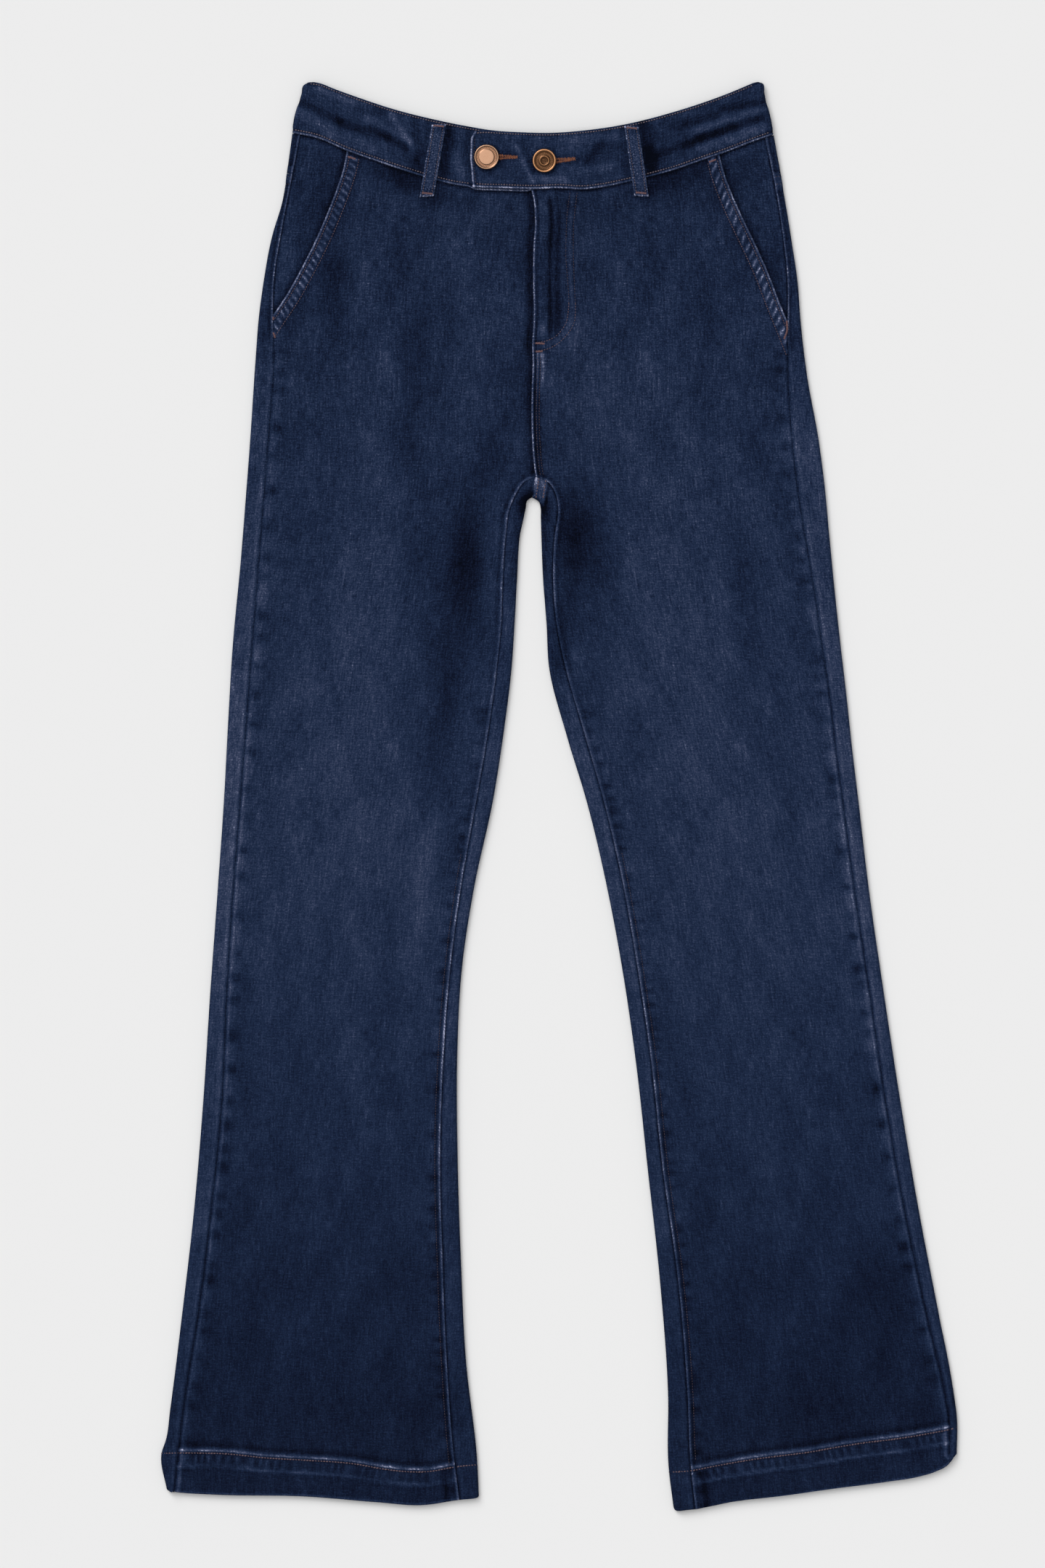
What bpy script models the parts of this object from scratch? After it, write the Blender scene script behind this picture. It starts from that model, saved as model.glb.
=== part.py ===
"""Flared jeans laid flat with the front up.

The garment rests on its back panels, which wrap round the side folds and the inner folds of the legs.
+Y runs to the waist, +X to the wearer's left and +Z up. The origin is under the middle of the whole
outline, on the surface. Tables and sizes are millimetres, and "right" and "left" are the wearer's.
"""

import math
from collections import namedtuple

import bpy
import numpy as np

MM = 0.001

# Cloth thicknesses and clearances
CLOTH = 1.4
HEM_CLOTH = 2.2
BAND_CLOTH = 2.6
LOOP_CLOTH = 1.5
ZIP_CLOTH = 0.6
GAP = 0.3
BAND_GAP = 0.4
LAYER_GAP = 0.6

# Heights of the outer top surface above the floor
PANEL_HEIGHT = 3.8
FOLD_HEIGHT = 5.4
FOLD_REACH = 60.0
CROTCH_RISE = 1.0
CROTCH_REACH = 60.0
BAND_SEAM_HEIGHT = 6.0
BAND_RAMP = 45.0
FRONT_BAND_LIFT = 0.9
BACK_BAND_FLOOR = 1.8
BACK_RAMP_START = 22.0
BACK_RAMP_END = 52.0
BAND_HEIGHT = 7.8
TAB_HEIGHT = 10.7

# Hems, pockets, fly and yoke
HEM_DEPTH = 30.0
HEM_LEDGE = 3.0
HEM_BOW_REACH = 120.0
FACING_UNDERLAP = 13.0
FLAT_OVER_FACING = 17.0
LIFT_FALL = 38.0
CENTRE_FRONT = -20.0
CENTRE_BACK = -21.5
FLY_UNDERLAP = 14.0
FLY_FLAT = 27.0
FLY_FALL = 18.0
ZIP_INSET = 3.0
ZIP_WIDTH = 22.0
ZIP_END = 352.0
ZIP_STEP_START = 20.0
ZIP_STEP = 15.0
UNDERLAP_END = 285.0
UNDERLAP_TAPER = 40.0
LAP_STEP_START = 25.0
LAP_STEP = 22.0
CENTRE_SHIFT_REACH = 30.0
FACING_TAIL = 5.0
YOKE_SIDE = 490.0
YOKE_CENTRE = 416.0

# Counts of rows and columns, and their spacing
FOLD_STEPS = 6
MOUTH_ROWS = 7
LONGEST_ROW = 45.0
CLEAR_OF_HEM = 10.0
BAND_FRONT_COLUMNS = 12
BAND_BACK_COLUMNS = 8
LOOP_ROWS = 13
ZIP_ROWS = 14
BUTTON_STEPS = 36
EYE_STEPS = 24

# Waistband ends, tab ramp, loops and buttons
EXTENSION_END = 6.0
TAB_FLAT_END = 12.0
TAB_RAMP_END = 45.0
LOOP_WIDTH = 11.4
LOOP_ARCH = 0.8
LOOP_ARCH_END = 0.75
LOOP_STEP_START = 7.0
LOOP_STEP = 6.0
BAND_SIDE_LEAN = 0.12
BUTTON_DIAMETER = 20.0
SHANK_DIAMETER = 5.4
EYE_DIAMETER = 6.4
SLIT_WIDTH = 1.4
SLIT_LENGTH = 15.0

Side = namedtuple("Side", "y fold outseam")
Inner = namedtuple("Inner", "y inseam fold_x fold_y drop")
Edge = namedtuple("Edge", "x y")
End = namedtuple("End", "share x")
Crease = namedtuple("Crease", "x0 y0 x1 y1 width height")
Loop = namedtuple("Loop", "name x_top y_top x_low y_low on_top")
Turn = namedtuple("Turn", "radius_share height")
Leg = namedtuple("Leg", "name sign side inner mouth hem hip pocket_end")

# The outer silhouette, which is the side fold, and the outseam beside it, from band to hem
RIGHT_SIDE = [
    Side(522, -209.8, -203.5), Side(495, -213.5, -208.5), Side(467, -218, -214), Side(440, -226, -219),
    Side(408, -232, -224), Side(379, -236, -225), Side(341, -239, -225), Side(281, -243, -230.5),
    Side(235, -246.5, -233), Side(185, -250.5, -235.5), Side(122, -256.5, -240), Side(56, -260.5, -244),
    Side(0, -263.5, -248.5), Side(-72, -268.5, -256.5), Side(-155, -274.5, -261.5),
    Side(-240, -280, -266), Side(-323, -287, -276), Side(-406, -296.5, -285.5), Side(-480, -305.8, -295.5),
    Side(-505, -309.4, -298.4), Side(-514, -312.4, -299.5), Side(-544.5, -308.4, -302.4),
]
LEFT_SIDE = [
    Side(522, 167.9, 161), Side(491, 173.5, 167), Side(467, 177.5, 171.5), Side(436, 182.5, 176),
    Side(405, 187, 179), Side(373, 189.5, 179), Side(331, 194.5, 180), Side(281, 203.5, 183.5),
    Side(247, 208, 187.5), Side(205, 212, 193.5), Side(164, 216, 200), Side(122, 220.5, 205),
    Side(81, 225.3, 210), Side(39, 229.8, 214.5), Side(0, 234.5, 219.5), Side(-72, 243, 230.5),
    Side(-155, 255, 245), Side(-240, 268, 256.5), Side(-323, 282, 271), Side(-406, 298, 288.5),
    Side(-460, 308.5, 301), Side(-489, 312.3, 306), Side(-512.5, 312.1, 306),
]

# Below the crotch: the inseam on the top layer and the fold inside it. A row starts at the side fold at
# y and ends at the inner fold. The inseam lies a drop above that line close to the crotch.
RIGHT_INNER = [
    Inner(250, -18.7, -21.5, 235.7, 15.8), Inner(243, -27, -25.3, 233, 15),
    Inner(234, -33.6, -26.4, 227.5, 11.5), Inner(222, -39.2, -28, 220, 6),
    Inner(205, -42.9, -31, 206, 1), Inner(172, -45.8, -33.3, 172, 0),
    Inner(136, -47.9, -35.3, 136, 0), Inner(102, -52.3, -37.6, 102, 0),
    Inner(50, -59, -44, 50, 0), Inner(0, -65, -51.8, 0, 0),
    Inner(-72, -79, -67.5, -73, 0), Inner(-135, -86.5, -76.8, -136, 0),
    Inner(-200, -92, -80.3, -202, 0), Inner(-280, -94.2, -80, -283, 0),
    Inner(-360, -92.8, -77.4, -364, 0), Inner(-440, -89, -73.3, -444, 0),
    Inner(-513, -84.8, -64.8, -519, 0), Inner(-544.5, -80.8, -63.3, -548.4, 0),
]
LEFT_INNER = [
    Inner(250, -18.3, -21.5, 235.7, 15.8), Inner(243, -9.5, -16.5, 232.5, 15),
    Inner(234, -3.6, -14.9, 227.5, 11.5), Inner(222, -1.2, -14.7, 220, 6),
    Inner(205, -2.2, -14.3, 205, 1), Inner(172, -3.5, -13, 172, 0),
    Inner(136, -1.3, -10.2, 136, 0), Inner(102, 5.5, -8.2, 102, 0),
    Inner(50, 20, 5.8, 48, 0), Inner(0, 33.3, 21, -2, 0),
    Inner(-72, 52.5, 38, -74, 0), Inner(-135, 64, 50, -139, 0),
    Inner(-200, 72.5, 60, -208, 0), Inner(-280, 83, 69.5, -294, 0),
    Inner(-360, 93, 79, -381, 0), Inner(-440, 100, 85.3, -470, 0),
    Inner(-489, 103, 85.8, -527, 0), Inner(-512.5, 107.7, 90.1, -560, 0),
]

# Pocket mouths, from the band down to the outseam
RIGHT_MOUTH = [
    Edge(-168, 508.5), Edge(-170.5, 495), Edge(-175, 480), Edge(-182, 460), Edge(-191, 439),
    Edge(-203, 416), Edge(-215, 395), Edge(-224.8, 379),
]
LEFT_MOUTH = [
    Edge(124.5, 506), Edge(129, 488), Edge(135, 471), Edge(143, 452), Edge(152, 432), Edge(161, 412.5),
    Edge(170.5, 392.5), Edge(178.8, 374),
]

# The lower edge of each hem, from the side fold to the inner fold
RIGHT_HEM = [
    Edge(-308.4, -544.5), Edge(-300, -545.6), Edge(-271, -547.4), Edge(-200, -548.8), Edge(-142, -553.4),
    Edge(-109, -555.6), Edge(-75.5, -550.6), Edge(-63.3, -548.4),
]
LEFT_HEM = [
    Edge(90.1, -560), Edge(107.7, -558), Edge(133, -553), Edge(174.4, -547.8), Edge(216, -541.6),
    Edge(257.6, -536), Edge(279, -533.2), Edge(295, -528.6), Edge(305.5, -521.5), Edge(312.1, -512.5),
]

# The waistband's two long edges, and its ends from seam to top as shares of its width
BAND_SEAM = [
    Edge(-210, 521.6), Edge(-189, 517.3), Edge(-167, 508.7), Edge(-143, 500.5), Edge(-120, 492.8),
    Edge(-97, 486.6), Edge(-68, 480), Edge(-46, 478), Edge(-20, 477.4), Edge(16, 478), Edge(39, 481),
    Edge(51, 484), Edge(91, 495.6), Edge(130, 507.5), Edge(153, 515.6), Edge(168, 520.2),
]
BAND_TOP = [
    Edge(-196.5, 560.4), Edge(-188.7, 559.2), Edge(-177, 554.6), Edge(-154.5, 546), Edge(-131.7, 538.8),
    Edge(-97.5, 530.3), Edge(-74.7, 525.6), Edge(-52, 522), Edge(-29, 520.4), Edge(-6, 520.2),
    Edge(16.5, 521.8), Edge(39.3, 524.8), Edge(51, 526.8), Edge(91, 537.4), Edge(130.5, 550.6),
    Edge(142, 555.2), Edge(155, 560.2),
]
RIGHT_BAND_SIDE = [
    End(0, -209.8), End(0.25, -208.8), End(0.5, -206), End(0.75, -202.7), End(0.93, -200.4), End(1, -196.5),
]
LEFT_BAND_SIDE = [
    End(0, 167.9), End(0.25, 166.3), End(0.5, 163.5), End(0.75, 160.9), End(0.93, 159.2), End(1, 155),
]
TAB_END = [
    End(0, -68.2), End(0.25, -69.3), End(0.5, -70.2), End(0.75, -69.9), End(0.93, -69), End(1, -67),
]
BAND_ROWS = [0, 0.25, 0.5, 0.75, 0.93, 1]

# Broad ridges and troughs in the top layer
CREASES = [
    Crease(-60, 285, -160, 345, 42, 0.6), Crease(15, 290, 110, 350, 42, 0.6),
    Crease(-75, 225, -190, 250, 46, 0.5), Crease(30, 225, 150, 255, 46, 0.5),
    Crease(-95, 180, -75, -20, 50, -0.4), Crease(45, 170, 75, -30, 50, -0.4),
    Crease(-165, 120, -175, -120, 60, 0.6), Crease(115, 120, 160, -120, 60, 0.6),
    Crease(-110, -40, -235, -95, 46, 0.5), Crease(70, -50, 205, -90, 46, 0.5),
    Crease(-140, -230, -190, -420, 60, 0.5), Crease(140, -230, 215, -420, 60, 0.5),
    Crease(-150, 440, -60, 410, 34, 0.5), Crease(20, 415, 110, 445, 34, 0.5),
]

LOOPS = [
    Loop("belt_loop_front_right", -94.6, 528.4, -104.3, 471.4, True),
    Loop("belt_loop_front_left", 56.4, 526.8, 64.4, 471.7, True),
    Loop("belt_loop_back_right", -124, 535.5, -129, 480, False),
    Loop("belt_loop_back_centre", -21.5, 518.5, -21.5, 461.5, False),
    Loop("belt_loop_back_left", 81, 535, 86, 479, False),
]
BUTTONS = [("button_outer", -57.3, 502.5), ("button_centre", -12.0, 499.6)]

# A button's head from the centre of its face round to its underside, in shares of its radius and
# heights above that underside
BUTTON_HEAD = [
    Turn(0, 2.7), Turn(0.5, 2.5), Turn(0.74, 2.6), Turn(0.84, 3.4), Turn(0.95, 3.1), Turn(1, 1.4),
    Turn(0.93, 0.3), Turn(0.8, 0),
]

# Rows across the hips, at the side fold, from the yoke seam to just above the crotch's row
RIGHT_HIP = [YOKE_SIDE, 462, 435, 407, 379, 347, 315, 282]
LEFT_HIP = [YOKE_SIDE, 461, 432, 403, 374, 343, 312, 281]
ROWS_ABOVE_YOKE_SEAM = [520, 510, 500]

RIGHT = Leg("right", -1, RIGHT_SIDE, RIGHT_INNER, RIGHT_MOUTH, RIGHT_HEM, RIGHT_HIP, 379)
LEFT = Leg("left", 1, LEFT_SIDE, LEFT_INNER, LEFT_MOUTH, LEFT_HEM, LEFT_HIP, 374)

# Columns across a front: shares of the width outside the fly, then distances from the centre edge
FRONT_SHARES = [0, 0.05, 0.12, 0.23, 0.37, 0.52, 0.67, 0.83]
FLY_COLUMNS = [46, 36, 27, 13, 0]
FLOOR_COLUMNS = [0.25, 0.5, 0.75]
YOKE_COLUMNS = [0.125, 0.25, 0.375, 0.5, 0.625, 0.75, 0.875, 1]
YOKE_ROWS = [0, 0.33, 0.67, 1]
FACING_COLUMNS = [0, 0.33, 0.67, 1]


# --- curves and steps -------------------------------------------------------------------------------

def smooth(at, knots, values):
    """A smooth curve through the values at the knots, read at the places asked for."""
    knots = np.asarray(knots, float)
    values = np.asarray(values, float)
    if knots[0] > knots[-1]:
        knots, values = knots[::-1], values[::-1]
    at = np.asarray(at, float)
    inside = np.clip(at, knots[0], knots[-1])
    steps = np.diff(knots)
    slopes = np.diff(values) / steps
    blend = steps[1:] / (steps[:-1] + steps[1:])
    tangents = np.concatenate([slopes[:1], slopes[:-1] * blend + slopes[1:] * (1 - blend), slopes[-1:]])
    k = np.clip(np.searchsorted(knots, inside) - 1, 0, len(steps) - 1)
    s = (inside - knots[k]) / steps[k]
    here = (1 + 2 * s) * (1 - s) ** 2 * values[k] + s * s * (3 - 2 * s) * values[k + 1]
    bend = s * (1 - s) ** 2 * tangents[k] - s * s * (1 - s) * tangents[k + 1]
    beyond = np.where(at > inside, tangents[-1], tangents[0]) * (at - inside)
    return here + bend * steps[k] + beyond


def column(rows, name, at, key="y"):
    """One column of a table, read at the given value of its key column."""
    return smooth(at, [getattr(row, key) for row in rows], [getattr(row, name) for row in rows])


def ease(share):
    """0 to 1 with soft ends."""
    share = np.clip(share, 0, 1)
    return share * share * (3 - 2 * share)


def lerp(a, b, share):
    return a + (b - a) * share


def distance_to(points, line):
    """How far each point is from the nearest point of a finely sampled line."""
    offsets = np.asarray(points)[..., None, :2] - line
    return np.sqrt((offsets ** 2).sum(-1)).min(-1)


# --- the garment's plan -----------------------------------------------------------------------------

def seam_y(x):
    return column(BAND_SEAM, "y", x, "x")


def band_top_y(x):
    return column(BAND_TOP, "y", x, "x")


def fine_line(rows, x_name, y_name, key, count=160):
    """A table's curve as many points, for measuring distances."""
    ends = getattr(rows[0], key), getattr(rows[-1], key)
    at = np.linspace(*ends, count)
    xs = at if x_name == key else column(rows, x_name, at, key)
    ys = at if y_name == key else column(rows, y_name, at, key)
    return np.stack([xs, ys], axis=-1)


FOLD_LINES = np.concatenate(
    [fine_line(leg.side, "fold", "y", "y") for leg in (RIGHT, LEFT)]
    + [fine_line(leg.inner, "fold_x", "fold_y", "y") for leg in (RIGHT, LEFT)]
)
MOUTH_LINES = {leg.name: fine_line(leg.mouth, "x", "y", "y") for leg in (RIGHT, LEFT)}
HEM_LINES = np.concatenate([fine_line(leg.hem, "x", "y", "x") for leg in (RIGHT, LEFT)])
CROTCH = np.array([[-18.5, 251.4]])


def crease_height(x, y):
    """The sum of the broad ridges and troughs at a place."""
    total = np.zeros_like(x)
    for crease in CREASES:
        along = np.array([crease.x1 - crease.x0, crease.y1 - crease.y0], float)
        share = ((x - crease.x0) * along[0] + (y - crease.y0) * along[1]) / (along ** 2).sum()
        held = np.clip(share, 0, 1)
        away = np.hypot(x - crease.x0 - held * along[0], y - crease.y0 - held * along[1])
        total += crease.height * ease(1 - away / crease.width)
    return total


def top_height(x, y):
    """The outer top surface of strips and facings; fronts add their own lift."""
    x, y = np.broadcast_arrays(np.asarray(x, float), np.asarray(y, float))
    points = np.stack([x, y], axis=-1)
    fold_share = ease(1 - distance_to(points, FOLD_LINES) / FOLD_REACH)
    height = lerp(PANEL_HEIGHT, FOLD_HEIGHT, fold_share)
    height = height + crease_height(x, y) * (1 - fold_share)
    height = height + CROTCH_RISE * ease(1 - distance_to(points, CROTCH) / CROTCH_REACH) * (1 - fold_share)
    hem_share = ease(2 - distance_to(points, HEM_LINES) / (HEM_DEPTH + HEM_LEDGE))
    height = lerp(height, FOLD_HEIGHT, hem_share)
    band_share = ease(1 - (seam_y(x) - y) / BAND_RAMP)
    return lerp(height, BAND_SEAM_HEIGHT, band_share)


def floor_height(x, y):
    """The outer lower surface, which clears the back belt loops close to the band."""
    share = (BACK_RAMP_END - (seam_y(x) - y)) / (BACK_RAMP_END - BACK_RAMP_START)
    return BACK_BAND_FLOOR * ease(share)


def fly_lift(x, y):
    """How far the left front stands above the right one where it laps over it."""
    zipped = LAYER_GAP + ZIP_CLOTH + GAP + CLOTH
    plain = LAYER_GAP + CLOTH
    along = lerp(plain, zipped, ease((y - ZIP_END + ZIP_STEP_START) / ZIP_STEP))
    along = along * ease((y - UNDERLAP_END + LAP_STEP_START) / LAP_STEP)
    return along * ease(1 - (x - CENTRE_FRONT - FLY_FLAT) / FLY_FALL)


def front_height(leg, x, y):
    """The outer surface of a front panel."""
    x, y = np.broadcast_arrays(np.asarray(x, float), np.asarray(y, float))
    points = np.stack([x, y], axis=-1)
    mouth = distance_to(points, MOUTH_LINES[leg.name])
    over_facing = (LAYER_GAP + CLOTH) * ease(1 - (mouth - FLAT_OVER_FACING) / LIFT_FALL)
    band = FRONT_BAND_LIFT * ease(1 - (seam_y(x) - y) / BAND_RAMP)
    lift = np.maximum(over_facing, band)
    if leg.sign > 0:
        lift = lift + fly_lift(x, y)
    return top_height(x, y) + lift


# --- sections across a leg --------------------------------------------------------------------------

def hem_bow(leg, y, share):
    """How far a row near the hem follows the hem's curve, at a share of the width from the side fold."""
    ends = leg.hem if leg.sign < 0 else leg.hem[::-1]
    x = lerp(ends[0].x, ends[-1].x, share)
    bow = column(leg.hem, "y", x, "x") - lerp(ends[0].y, ends[-1].y, share)
    return bow * ease(1 - (y - leg.side[-1].y) / HEM_BOW_REACH)


def side_fold(leg, y):
    """The side fold's point at y, and its outward direction."""
    x = column(leg.side, "fold", y)
    slope = column(leg.side, "fold", y + 1.0) - column(leg.side, "fold", y - 1.0)
    outward = np.array([1.0, -slope / 2]) * leg.sign
    return np.array([x, y]), outward / np.linalg.norm(outward)


def inner_fold(leg, y):
    """The inner fold's point for the row that starts at y, and its outward direction."""
    point = np.array([column(leg.inner, "fold_x", y), column(leg.inner, "fold_y", y)])
    if y >= leg.inner[0].y:
        return point, np.array([0.0, -1.0])
    ahead = np.array([column(leg.inner, "fold_x", y - 1), column(leg.inner, "fold_y", y - 1)])
    behind = np.array([column(leg.inner, "fold_x", y + 1), column(leg.inner, "fold_y", y + 1)])
    along = ahead - behind
    outward = np.array([-along[1], along[0]]) * -leg.sign
    outward = outward / np.linalg.norm(outward)
    if outward[0] * leg.sign > 0:
        outward = -outward
    return point, outward


def row_level(leg, y, x):
    """The y of the row that starts at the side fold at y, at a given x."""
    start = column(leg.side, "fold", y)
    end_x = column(leg.inner, "fold_x", y)
    end_y = column(leg.inner, "fold_y", y)
    share = (x - start) / (end_x - start)
    return lerp(y, end_y, share) + hem_bow(leg, y, share)


def leg_rows(leg):
    """The rows from the crotch to the hem, halved where the table's rows are far apart."""
    rows = [leg.inner[0].y]
    for above, below in zip(leg.inner, leg.inner[1:]):
        if above.y - below.y > LONGEST_ROW:
            rows.append((above.y + below.y) / 2)
        rows.append(below.y)
    hem = leg.side[-1].y + HEM_DEPTH
    rows = [y for y in rows if abs(y - hem) > CLEAR_OF_HEM or y == rows[-1]]
    return sorted(rows + [hem, hem + HEM_LEDGE], reverse=True)


def side_rows(leg):
    """The y at the side fold of every row, from the band to the hem."""
    return ROWS_ABOVE_YOKE_SEAM + leg.hip + leg_rows(leg)


def outseam_x(leg, y):
    """The outseam, straight between the rows that the pieces on both sides of it share."""
    rows = np.array(side_rows(leg)[::-1], float)
    return float(np.interp(y, rows, column(leg.side, "outseam", rows)))


def fold_arc(point, outward, low, high, from_top):
    """The half round of a fold between two heights, as points from one tangent to the other."""
    radius = (high - low) / 2
    centre = point - outward * radius
    turns = np.linspace(90, -90, FOLD_STEPS + 1)
    turns = np.radians(turns if from_top else turns[::-1])
    plan = centre + outward * (radius * np.cos(turns))[:, None]
    return np.column_stack([plan, low + radius + radius * np.sin(turns)])


# --- panels -----------------------------------------------------------------------------------------

def front_columns(leg, start, end):
    """The x of each column across a front, from its outer edge to its centre edge."""
    fly = end + leg.sign * np.array(FLY_COLUMNS)
    return np.concatenate([lerp(start, fly[0], np.array(FRONT_SHARES)), fly])


def front_mouth_rows(leg):
    """Rows from the band to the pocket's end: they start on the mouth and end on the centre edge."""
    top_y = leg.mouth[0].y - GAP
    top_x = float(column(leg.mouth, "x", top_y))
    centre_x = centre_edge(leg, top_y)
    centre_y = float(seam_y(centre_x)) - BAND_GAP
    rows = []
    for part in np.arange(MOUTH_ROWS) / MOUTH_ROWS:
        y = lerp(top_y, leg.pocket_end, part)
        end_y = lerp(centre_y, leg.pocket_end, part)
        start = float(column(leg.mouth, "x", y))
        xs = front_columns(leg, start, centre_edge(leg, end_y))
        share = (xs - xs[0]) / (xs[-1] - xs[0])
        along_seam = seam_y(lerp(top_x, centre_x, share)) - BAND_GAP
        bow = (along_seam - lerp(top_y, centre_y, share)) * (1 - part) ** 2
        rows.append(np.column_stack([xs, lerp(y, end_y, share) + bow]))
    return rows


def front_hip_rows(leg):
    """Rows from the pocket's end to just above the crotch."""
    crotch_y = leg.inner[0].fold_y + leg.inner[0].drop
    rows = []
    for y in [y for y in leg.hip if y <= leg.pocket_end]:
        part = (y - leg.inner[0].y) / (leg.pocket_end - leg.inner[0].y)
        end_y = lerp(crotch_y, leg.pocket_end, part)
        xs = front_columns(leg, outseam_x(leg, y) - leg.sign * GAP / 2, centre_edge(leg, end_y))
        share = (xs - xs[0]) / (xs[-1] - xs[0])
        rows.append(np.column_stack([xs, lerp(y, end_y, share)]))
    return rows


def front_leg_rows(leg):
    """Rows from the crotch to the hem."""
    rows = []
    for y in leg_rows(leg):
        end = float(column(leg.inner, "inseam", y)) + leg.sign * GAP / 2
        if y == leg.inner[0].y:
            end = CROTCH[0, 0] + leg.sign * GAP / 2
        xs = front_columns(leg, outseam_x(leg, y) - leg.sign * GAP / 2, end)
        share = (xs - xs[0]) / (xs[-1] - xs[0])
        drop = float(column(leg.inner, "drop", y))
        rows.append(np.column_stack([xs, row_level(leg, y, xs) + drop * share]))
    return rows


def front_grid(leg):
    """The front panel's outer surface, a row for each section."""
    plan = np.array(front_mouth_rows(leg) + front_hip_rows(leg) + front_leg_rows(leg))
    return np.dstack([plan, front_height(leg, plan[..., 0], plan[..., 1])])


def centre_edge(leg, y):
    """The x of a front panel's centre edge: the right one runs on under the left one along the fly."""
    shift = (CROTCH[0, 0] - CENTRE_FRONT) * float(ease((UNDERLAP_END - y) / CENTRE_SHIFT_REACH))
    if leg.sign > 0:
        return CENTRE_FRONT + GAP / 2 + shift
    under = lerp(-GAP / 2, FLY_UNDERLAP, float(ease((y - UNDERLAP_END) / UNDERLAP_TAPER)))
    return CENTRE_FRONT + under + shift


def back_row(leg, y, centre_y, below_crotch):
    """A back panel's outer surface along one row: strip, side fold, floor, inner fold and strip."""
    outseam = outseam_x(leg, y) + leg.sign * GAP / 2
    edge, outward = side_fold(leg, y)
    low = float(floor_height(edge[0], y))
    high = float(top_height(edge[0], y))
    arc = fold_arc(edge, outward, low, high, True)
    strip_x = np.array([outseam, (outseam + arc[0, 0]) / 2])
    strip_y = row_level(leg, y, strip_x) if below_crotch else np.full(2, y)
    strip = np.column_stack([strip_x, strip_y, top_height(strip_x, strip_y)])
    if below_crotch:
        point, inward = inner_fold(leg, y)
        if y == leg.inner[0].y:
            point = np.array([CENTRE_BACK + leg.sign * GAP / 2, point[1]])
        arc_in = fold_arc(point, inward, 0.0, float(top_height(*point)), False)
        end = arc_in[0]
    else:
        end = np.array([CENTRE_BACK + leg.sign * GAP / 2, centre_y, 0.0])
    floor_x = lerp(arc[-1, 0], end[0], np.array(FLOOR_COLUMNS))
    if below_crotch and y < leg.inner[2].y:
        floor_y = row_level(leg, y, floor_x)
    else:
        floor_y = lerp(arc[-1, 1], end[1], np.array(FLOOR_COLUMNS))
    floor = np.column_stack([floor_x, floor_y, floor_height(floor_x, floor_y)])
    if not below_crotch:
        end = end + np.array([0, 0, float(floor_height(end[0], end[1]))])
        missing = np.full((FOLD_STEPS + 2, 3), np.nan)
        return np.vstack([strip, arc, floor, end[None], missing])
    inseam = float(column(leg.inner, "inseam", y)) - leg.sign * GAP / 2
    inseam_y = float(row_level(leg, y, inseam)) + float(column(leg.inner, "drop", y))
    if y == leg.inner[0].y:
        inseam = CROTCH[0, 0] + leg.sign * GAP
        inseam_y = inseam_y - 2 * GAP
    middle = (arc_in[-1, :2] + np.array([inseam, inseam_y])) / 2
    inner_strip = np.array([middle, [inseam, inseam_y]])
    heights = top_height(inner_strip[:, 0], inner_strip[:, 1])
    return np.vstack([strip, arc, floor, arc_in, np.column_stack([inner_strip, heights])])


def back_grid(leg):
    """The back panel's outer surface below the yoke."""
    hip = [YOKE_SIDE - GAP / 2] + leg.hip[1:]
    crotch_floor = leg.inner[0].fold_y + FOLD_HEIGHT / 2
    rows = []
    for y in hip:
        share = (y - leg.inner[0].y) / (hip[0] - leg.inner[0].y)
        rows.append(back_row(leg, y, lerp(crotch_floor, YOKE_CENTRE - GAP / 2, share), False))
    for y in leg_rows(leg):
        rows.append(back_row(leg, y, 0, True))
    return np.array(rows)


def yoke_grid(leg):
    """The back yoke's outer surface: strip, side fold and floor."""
    rows = []
    side_top = float(seam_y(column(leg.side, "fold", ROWS_ABOVE_YOKE_SEAM[0]))) - BAND_GAP
    centre_top = float(seam_y(CENTRE_BACK)) - BAND_GAP
    along = np.array(YOKE_COLUMNS)
    for share in YOKE_ROWS:
        y = lerp(side_top, YOKE_SIDE + GAP / 2, share)
        centre_y = lerp(centre_top, YOKE_CENTRE + GAP / 2, share)
        edge, outward = side_fold(leg, y)
        low = float(floor_height(edge[0], y))
        high = float(top_height(edge[0], y))
        arc = fold_arc(edge, outward, low, high, True)
        rise = float(seam_y(outseam_x(leg, y)) - seam_y(edge[0])) * (1 - share)
        outseam = outseam_x(leg, y + rise) + leg.sign * GAP / 2
        strip_x = np.array([outseam, (outseam + arc[0, 0]) / 2])
        strip_y = y + rise * np.array([1, 0.5])
        strip = np.column_stack([strip_x, strip_y, top_height(strip_x, strip_y)])
        floor_x = lerp(arc[-1, 0], CENTRE_BACK + leg.sign * GAP / 2, along)
        bow = (seam_y(floor_x) - BAND_GAP - lerp(side_top, centre_top, along)) * (1 - share)
        floor_y = lerp(arc[-1, 1], centre_y, along) + bow
        floor_z = floor_height(floor_x, floor_y)
        if share == 1:
            shared = np.isin(along, FLOOR_COLUMNS + [1])
            floor_z = np.interp(along, np.append(0, along[shared]), np.append(low, floor_z[shared]))
        rows.append(np.vstack([strip, arc, np.column_stack([floor_x, floor_y, floor_z])]))
    return np.array(rows)


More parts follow.
